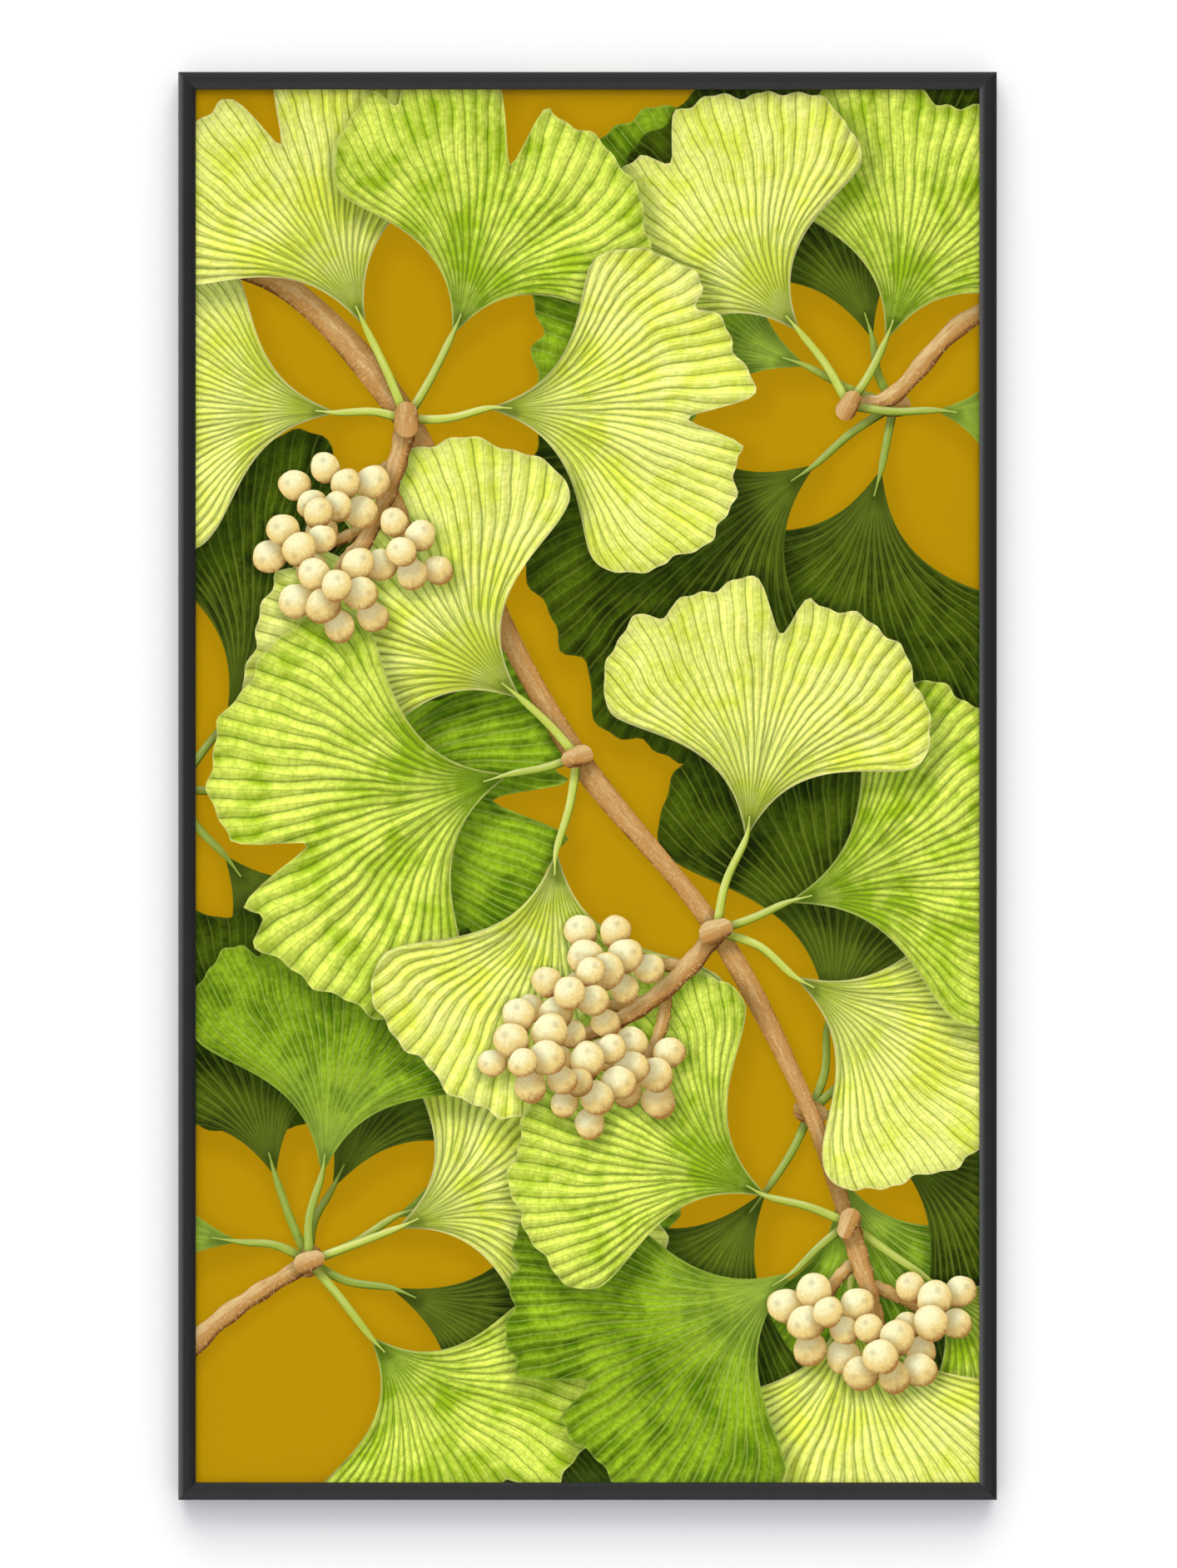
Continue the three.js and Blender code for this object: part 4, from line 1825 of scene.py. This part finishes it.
def round_size(node: str) -> tuple[float, float]:
    """Gives the radius and the depth of a round node that faces the back."""
    low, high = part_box(node)
    return (high.x - low.x) / 2, high.y - low.y


class GeometrySheet(NodeSheet):
    """A geometry tree that places one shape on each point of its host."""

    def __init__(self, name: str, **sizes: float) -> None:
        """Makes the tree, its named sizes and its finish.

        Args:
            name: The tree's name.
            **sizes: Each named size and its value.
        """
        super().__init__(bpy.data.node_groups.new(name, "GeometryNodeTree"))
        face = self.tree.interface
        face.new_socket("Geometry", in_out="INPUT", socket_type="NodeSocketGeometry")
        kinds = dict.fromkeys(sizes, "NodeSocketFloat") | {"Finish": "NodeSocketMaterial"}
        self.ids = {
            label: face.new_socket(label, in_out="INPUT", socket_type=kind).identifier
            for label, kind in kinds.items()
        }
        face.new_socket("Geometry", in_out="OUTPUT", socket_type="NodeSocketGeometry")
        self.sizes = sizes
        self.inputs = self.node("NodeGroupInput")

    def size(self, label: str) -> Value:
        """Gives a named size, or the host or the finish."""
        return Value(self, self.inputs.outputs[label])

    def where(self) -> tuple[Value, ...]:
        """Gives the shape's own coordinates as three values."""
        return self.parts(self.node("GeometryNodeInputPosition").outputs[0])

    def block(self, size: Source, counts: tuple[int, int, int]) -> Value:
        """Adds a block cut into a grid."""
        vertices = {f"Vertices {axis}": count for axis, count in zip("XYZ", counts)}
        return self.value("GeometryNodeMeshCube", {"Size": size, **vertices}, "Mesh")

    def drum(self, radius: Source, depth: Source, sides: int, rings: int = 1) -> Value:
        """Adds a drum that stands along its own Z."""
        sources = {"Vertices": sides, "Side Segments": rings, "Radius": radius, "Depth": depth}
        return self.value("GeometryNodeMeshCylinder", sources, "Mesh", fill_type="TRIANGLE_FAN")

    def moved(self, shape: Source, position: Source) -> Value:
        """Sets the place of each of a shape's points."""
        return self.value("GeometryNodeSetPosition", {"Geometry": shape, "Position": position})

    def narrowed(self, shape: Source, share: Value) -> Value:
        """Draws a shape's points in towards its own Z, each by a share of its distance."""
        x, y, z = self.where()
        return self.moved(shape, self.vector(x * share, y * share, z))

    def raised(self, shape: Source, height: Source) -> Value:
        """Moves a whole shape along its own Z."""
        sources = {"Geometry": shape, "Translation": self.vector(0, 0, height)}
        return self.value("GeometryNodeTransform", sources)

    def cut(self, shape: Source, *cutters: Source) -> Value:
        """Takes cutters out of a shape."""
        sources = {"Mesh 1": shape, "Mesh 2": list(cutters)}
        return self.value("GeometryNodeMeshBoolean", sources, operation="DIFFERENCE", solver="EXACT")

    def joined(self, *shapes: Source) -> Value:
        """Joins shapes into one solid."""
        sources = {"Mesh 2": list(shapes)}
        return self.value("GeometryNodeMeshBoolean", sources, operation="UNION", solver="EXACT")

    def finish(self, shape: Source) -> GeometrySheet:
        """Places the shape on the host's points and ends the tree.

        Args:
            shape: The shape to repeat.

        Returns:
            The tree.
        """
        named = {"Name": "turn"}
        turn = self.value("GeometryNodeInputNamedAttribute", named, "Attribute", data_type="FLOAT_VECTOR")
        sources = {"Points": self.size("Geometry"), "Instance": shape, "Rotation": turn}
        spread = self.value("GeometryNodeInstanceOnPoints", sources)
        real = self.value("GeometryNodeRealizeInstances", {0: spread})
        sources = {"Geometry": real, "Material": self.size("Finish")}
        self.node("NodeGroupOutput", {0: self.value("GeometryNodeSetMaterial", sources)})
        return self

    def grow(self, name: str, slot: str, family: str, finish: Material, upright: Sequence[str] = ()) -> None:
        """Runs the tree in the places of a family of nodes, and keeps the result as one plain mesh.

        Args:
            name: The piece's name.
            slot: Not used.
            family: What the names of its CAD nodes start with.
            finish: The copies' material.
            upright: The words in those names that mark a copy with its length upright.
        """
        nodes = nodes_of(family)
        stands = [any(word in node for word in upright) for node in nodes]
        turns = [FACING_BACK_UPRIGHT if stand else FACING_BACK for stand in stands]
        host = mesh_piece(name + "_host", [middle_of(node) for node in nodes], [], [])
        turned = host.data.attributes.new("turn", "FLOAT_VECTOR", "POINT")
        turned.data.foreach_set("vector", np.array(turns, float).ravel())
        modifier = host.modifiers.new("grow", "NODES")
        modifier.node_group = self.tree
        for label, size in self.sizes.items():
            modifier[self.ids[label]] = size
        modifier[self.ids["Finish"]] = finish
        view = bpy.context.evaluated_depsgraph_get()
        mesh = bpy.data.meshes.new_from_object(host.evaluated_get(view))
        bpy.data.objects.remove(host)
        mesh.name = name
        piece = bpy.data.objects.new(name, mesh)
        bpy.context.scene.collection.objects.link(piece)
        soften(piece)
        keep(piece, nodes)
        LOG.info("%s: %d", name, len(nodes))


@dataclass
class SpringClips:
    """Bowed strips that press the pack forwards."""

    length: float = 60 * MM
    width: float = 14 * MM
    thickness: float = 0.5 * MM
    rise: float = 3.2 * MM
    least_square: float = 0.02  # keeps the round ends open
    counts: tuple[int, int, int] = (61, 7, 2)

    def tree(self) -> GeometrySheet:
        """Builds the tree: a strip with round ends, bowed along its length."""
        sizes = {"Length": self.length, "Width": self.width, "Thickness": self.thickness, "Rise": self.rise}
        g = GeometrySheet("bowed_spring", **sizes)
        length, width, thickness, rise = (g.size(label) for label in sizes)
        strip = g.block(g.vector(length, width, thickness), self.counts)
        x, y, z = g.where()
        half, end = length * 0.5, width * 0.5
        share = x / half
        past = (abs(x) - (half - end)).at_least(0) / end
        narrow = (past * past).dome(self.least_square)
        height = z + (1 - share * share - 0.5) * rise
        return g.finish(g.moved(strip, g.vector(x, y * narrow, height)))

    def build(self, finish: Material) -> None:
        """Builds every spring in its node's place, along its own rail."""
        self.tree().grow("spring_clips", "spring", "spring_", finish, upright=("left", "right"))


@dataclass
class CornerHardware:
    """The corner plates, their shims and the set screws that jack them apart."""

    radius: float = 1.5 * MM
    length: float = 3 * MM
    socket: float = 0.92 * MM
    pitch: float = 0.5 * MM
    body: float = 0.95
    ridge: float = 0.05  # in radii, like the body
    chamfer_from: float = 0.42  # in lengths from the middle
    chamfer: float = 2.2
    sides: int = 28
    rings: int = 24

    def screw_tree(self) -> GeometrySheet:
        """Builds the tree: a ridged, chamfered drum with a hexagon socket."""
        g = GeometrySheet("set_screw", Radius=self.radius, Length=self.length, Socket=self.socket)
        length = g.size("Length")
        drum = g.drum(g.size("Radius"), length, self.sides, self.rings)
        _, _, z = g.where()
        end = (abs(z / length) - self.chamfer_from).at_least(0) * self.chamfer
        ridge = (z * (2 * math.pi / self.pitch)).sine() * self.ridge
        turned = g.narrowed(drum, self.body - end - ridge)
        key = g.raised(g.drum(g.size("Socket"), length, 6), length * 0.5)
        return g.finish(g.cut(turned, key))

    def build(self, plate: Material, screw: Material) -> None:
        """Dresses the plates, shims and nuts, and builds the screws.

        Args:
            plate: The plates' material.
            screw: The screws' material.
        """
        for family in ("corner_plate_", "corner_shim_", "sliding_nut_"):
            for name in nodes_of(family):
                for slot in frame["nodes"][name].material_slots:
                    slot.material = plate
        self.screw_tree().grow("set_screws", "screw", "set_screw_", screw)


@dataclass
class WallPads:
    """Soft round pads with a domed edge."""

    round_off: float = 0.22
    roll_from: float = 0.6
    sides: int = 40
    rings: int = 16

    def tree(self, radius: float, depth: float) -> GeometrySheet:
        """Builds the tree: a drum whose outer rim rolls over.

        Args:
            radius: The pad's radius.
            depth: Its depth.

        Returns:
            The tree.
        """
        g = GeometrySheet("wall_pad", Radius=radius, Depth=depth, Roll=self.round_off)
        drum = g.drum(g.size("Radius"), g.size("Depth"), self.sides, self.rings)
        _, _, z = g.where()
        over = (z / g.size("Depth") + 0.5 - self.roll_from).at_least(0) / (1 - self.roll_from)
        return g.finish(g.narrowed(drum, 1 - (1 - (over * over).dome()) * g.size("Roll")))

    def build(self, finish: Material) -> None:
        """Builds every pad in its node's place."""
        radius, depth = round_size(nodes_of("wall_pad_")[0])
        self.tree(radius, depth).grow("wall_pads", "rubber", "wall_pad_", finish)


@dataclass
class SawToothHanger:
    """The toothed plate on the top rail and its two screws."""

    shoulder: float = 9 * MM
    overlap: float = 0.3 * MM
    pitch: float = 4 * MM
    tooth: float = 1.8 * MM
    side_notches: int = 5
    top_round: float = 2 * MM
    shoulder_round: float = 1 * MM
    tip_round: float = 0.15 * MM
    notch_round: float = 0.25 * MM
    hole: float = 1.8 * MM
    hole_sides: int = 32
    weld: float = 1e-7
    level: float = 1e-6  # how far an edge in a flat side may rise or fall
    soft_edge: float = 0.15 * MM
    rim_angle: float = 60  # in degrees; a sharper edge is eased
    crease: float = 30
    head: float = 1.2 * MM
    shank: float = 1.5 * MM
    head_roll: float = 0.3
    recess: Point = (1.15, 0.24)  # its arms' length and width, in the head's radii
    recess_depth: float = 1.2
    head_sides: int = 40
    head_rings: int = 10
    shank_sides: int = 24

    def outline(self, low: Vector, high: Vector) -> list[Point]:
        """Draws the plate's outline, with its teeth along its lower edge.

        Args:
            low: Its box's lowest corner.
            high: Its box's highest corner.

        Returns:
            The outline's points.
        """
        half = (high.x - low.x) / 2
        foot = high.z + self.overlap - self.shoulder
        corners = [(-half, high.z, self.top_round), (-half, foot, self.shoulder_round)]
        for i in range(-self.side_notches, self.side_notches + 1):
            corners.append(((i - 0.5) * self.pitch, low.z, self.tip_round))
            corners.append((i * self.pitch, low.z + self.tooth, self.notch_round))
        corners.append(((self.side_notches + 0.5) * self.pitch, low.z, self.tip_round))
        corners += [(half, foot, self.shoulder_round), (half, high.z, self.top_round)]
        return rounded(corners)

    def hole_at(self, at: Vector) -> list[Point]:
        """Draws a hole round a screw's middle."""
        turns = [2 * math.pi * k / self.hole_sides for k in range(self.hole_sides)]
        return [(at.x + self.hole * math.cos(a), at.z + self.hole * math.sin(a)) for a in turns]

    def plate(self, finish: Material, screws: Sequence[str]) -> Piece:
        """Builds the plate in its node's place.

        Args:
            finish: Its material.
            screws: The nodes of its screws.

        Returns:
            The plate.
        """
        low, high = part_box("hanger_plate")
        loops = [self.outline(low, high)] + [self.hole_at(middle_of(node)) for node in screws]
        rings = rings_of(loops)
        flat = [point for loop in loops for point in loop]
        _, _, faces, origins, _, homes = triangulated(flat, rings, self.weld)
        front = [[origins[i][0] for i in face] for face, home in zip(faces, homes) if home == [0]]
        count = len(flat)
        points = [(x, low.y, z) for x, z in flat] + [(x, high.y, z) for x, z in flat]
        solid = front + [[count + i for i in face][::-1] for face in front]
        for ring in rings:
            solid += [[a, b, count + b, count + a] for a, b in zip(ring, ring[1:] + ring[:1])]
        piece = mesh_piece("saw_tooth_plate", points, solid, [finish])
        self.ease(piece)
        soften(piece, self.crease)
        LOG.info("hanger plate: %d faces", len(piece.data.polygons))
        return piece

    def ease(self, piece: Piece) -> None:
        """Eases the plate's edges, front and back.

        Args:
            piece: The plate.
        """
        shape = bmesh.new()
        shape.from_mesh(piece.data)
        bmesh.ops.recalc_face_normals(shape, faces=shape.faces)
        sharp = [edge for edge in shape.edges if edge.calc_face_angle(0) > math.radians(self.rim_angle)]
        rims = [edge for edge in sharp if abs(edge.verts[0].co.y - edge.verts[1].co.y) < self.level]
        bmesh.ops.bevel(
            shape, geom=rims, offset=self.soft_edge, segments=2, affect="EDGES", clamp_overlap=True
        )
        shape.to_mesh(piece.data)
        shape.free()

    def screw_tree(self, radius: float, reach: float) -> GeometrySheet:
        """Builds the tree: a pan head with a cross recess on a shank.

        Args:
            radius: The head's radius.
            reach: The whole screw's length.

        Returns:
            The tree.
        """
        sizes = {"Radius": radius, "Head": self.head, "Shank": self.shank, "Reach": reach}
        g = GeometrySheet("pan_screw", **sizes)
        radius, head, shank, reach = (g.size(label) for label in sizes)
        drum = g.drum(radius, head, self.head_sides, self.head_rings)
        _, _, z = g.where()
        share = (z / (head * 0.5)).at_least(0)
        pan = g.narrowed(drum, 1 - (1 - (share * share).dome()) * self.head_roll)
        post = g.drum(shank, reach - head * 0.5, self.shank_sides)
        whole = g.joined(g.raised(pan, (reach - head) * 0.5), g.raised(post, head * -0.25))
        arm, slot = (radius * share for share in self.recess)
        deep, top = head * self.recess_depth, reach * 0.5
        arms = [g.block(g.vector(*sides, deep), (2, 2, 2)) for sides in ((arm, slot), (slot, arm))]
        return g.finish(g.cut(whole, *(g.raised(block, top) for block in arms)))

    def build(self, finish: Material, screw: Material) -> None:
        """Builds the plate and its screws.

        Args:
            finish: The plate's material.
            screw: The screws' material.
        """
        nodes = nodes_of("hanger_screw_")
        keep(self.plate(finish, nodes), ["hanger_plate"])
        self.screw_tree(*round_size(nodes[0])).grow("hanger_screws", "screw", "hanger_screw_", screw)


# --- The studio ---


class Shine(Enum):
    """What a studio light does to the surfaces that it reaches."""

    LIGHTS = "lights"
    GLEAMS = "gleams"


@dataclass(frozen=True)
class Skylight:
    """An even, soft light from far away. Its angles are in degrees."""

    name: str
    height: float
    round_by: float  # how far it stands round from the front
    width: float  # how wide it looks
    strength: float
    shine: Shine = Shine.GLEAMS

    def hang(self, colour: Triple) -> None:
        """Adds the light to the scene.

        Args:
            colour: Its colour where it lights surfaces.
        """
        data = bpy.data.lights.new(self.name, "SUN")
        data.energy = self.strength
        data.angle = math.radians(self.width)
        made = bpy.data.objects.new(self.name, data)
        made.rotation_euler = (math.radians(90 - self.height), 0, math.radians(self.round_by))
        made.visible_glossy = self.shine is Shine.GLEAMS
        made.visible_diffuse = self.shine is Shine.LIGHTS
        if self.shine is Shine.LIGHTS:
            data.color = colour
        bpy.context.scene.collection.objects.link(made)


@dataclass
class Studio:
    """A pale wall and floor, soft light from above, and a long straight-on lens."""

    shown_height: float = 900 * MM  # how much of the wall the picture is tall
    aside: float = 0.55 * MM
    above: float = 1.1 * MM
    distance: float = 4.5
    sensor: float = 36
    paint: Colour = (0.86, 0.86, 0.872, 1.0)
    half_width: float = 6
    wall_top: float = 5
    wall_gap: float = 0.5 * MM
    floor_reach: float = 8
    floor_below: float = 1.6
    key_colour: Triple = (0.99, 1.0, 0.91)
    ambient_colour: Colour = (1.01, 1.0, 1.08, 1.0)
    ambient: float = 0.66
    reflected: float = 0.15
    backdrop: float = 1.0
    skylights: tuple[Skylight, ...] = (
        Skylight("upper_key", 58, 0, 60, 2.4, Shine.LIGHTS),
        Skylight("lower_key", 12, 0, 54, 0.6, Shine.LIGHTS),
        Skylight("back_key", 40, 160, 40, 3.0, Shine.LIGHTS),
        Skylight("left_gleam", 1, -60, 50, 0.72),
        Skylight("far_left_gleam", 1, -84, 24, 0.5),
        Skylight("upper_gleam", 35, 0, 60, 0.25),
        Skylight("overhead_gleam", 80, 0, 30, 0.11),
        Skylight("lower_gleam", -35, 0, 60, 0.57),
        Skylight("under_gleam", -80, 0, 30, 0.11),
        Skylight("right_side_gleam", 10, 130, 70, 0.8),
        Skylight("left_side_gleam", 10, -130, 70, 0.8),
        Skylight("back_gleam", 20, 180, 130, 1.5),
    )

    def plane(self, name: str, corners: Sequence[Triple]) -> None:
        """Adds a one-sided backdrop that only the camera sees.

        Args:
            name: Its name.
            corners: Its four corners in turn.
        """
        paint = OneSidedPaint(name + "_paint", self.paint).material()
        plane = mesh_piece(name, corners, [[0, 1, 2, 3]], [paint])
        for ray in ("diffuse", "glossy", "transmission", "shadow"):
            setattr(plane, "visible_" + ray, False)
        plane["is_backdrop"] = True

    def build(self) -> None:
        """Builds the backdrops, the light and the camera."""
        low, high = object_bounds()
        ground, x, y = low.z - self.floor_below, self.half_width, self.floor_reach
        gap, top = self.wall_gap, self.wall_top
        self.plane("wall", [(-x, gap, ground), (x, gap, ground), (x, gap, top), (-x, gap, top)])
        self.plane("floor", [(-x, -y, ground), (x, -y, ground), (x, y, ground), (-x, y, ground)])
        for skylight in self.skylights:
            skylight.hang(self.key_colour)
        self.sky()
        self.camera((low + high) / 2, low.y)
        LOG.info("studio: %d lights", len(self.skylights))

    def sky(self) -> None:
        """Fills the world: pale to the eye, dim as light."""
        world = bpy.data.worlds.new("studio")
        world.use_nodes = True
        s = NodeSheet(world.node_tree)
        path = s.node("ShaderNodeLightPath").outputs
        strength: Source = self.ambient
        for ray, level in (("Is Glossy Ray", self.reflected), ("Is Camera Ray", self.backdrop)):
            sources = {"Value": path[ray], "To Min": strength, "To Max": level}
            strength = s.value("ShaderNodeMapRange", sources)
        light = s.value("ShaderNodeBackground", {"Color": self.ambient_colour, "Strength": strength})
        s.node("ShaderNodeOutputWorld", {"Surface": light})
        bpy.context.scene.world = world
        bpy.context.scene.view_settings.view_transform = "Standard"

    def camera(self, middle: Vector, front: float) -> None:
        """Sets up the camera.

        Args:
            middle: The object's middle.
            front: Where its front is.
        """
        data = bpy.data.cameras.new("camera")
        data.sensor_fit = "AUTO"
        data.sensor_width = self.sensor
        data.lens = data.sensor_width * self.distance / self.shown_height
        made = bpy.data.objects.new("camera", data)
        made.location = (middle.x + self.aside, front - self.distance, middle.z + self.above)
        made.rotation_euler = (math.pi / 2, 0, 0)
        bpy.context.scene.collection.objects.link(made)
        bpy.context.scene.camera = made


# --- Everything ---

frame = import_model()

ZINC = PlatedMetal("bright_zinc", (0.56, 0.57, 0.59, 1), 0.32)
SCREW_STEEL = PlatedMetal("screw_steel", (0.42, 0.43, 0.45, 1), 0.28)
SPRING_STEEL = PlatedMetal("spring_steel", (0.36, 0.37, 0.40, 1), 0.3, grain=(1, 1, 0.2))
BRASS = PlatedMetal("brass_plate", (0.76, 0.56, 0.24, 1), 0.3, cloud_scale=420, grain=(0.06, 1, 1))


def main() -> None:
    """Builds every sub-assembly, then the studio."""
    logging.basicConfig(level=logging.INFO, format="%(message)s")
    SectionFrame().build(AnodisedSatin().material())
    PicturePack().build(ClearGlass().material(), Hardboard().material())
    SpringClips().build(SPRING_STEEL.material())
    screw_finish = SCREW_STEEL.material()
    CornerHardware().build(ZINC.material(), screw_finish)
    SawToothHanger().build(BRASS.material(), screw_finish)
    WallPads().build(SoftRubber().material())
    Studio().build()
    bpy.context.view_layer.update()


if __name__ == "__main__":
    main()
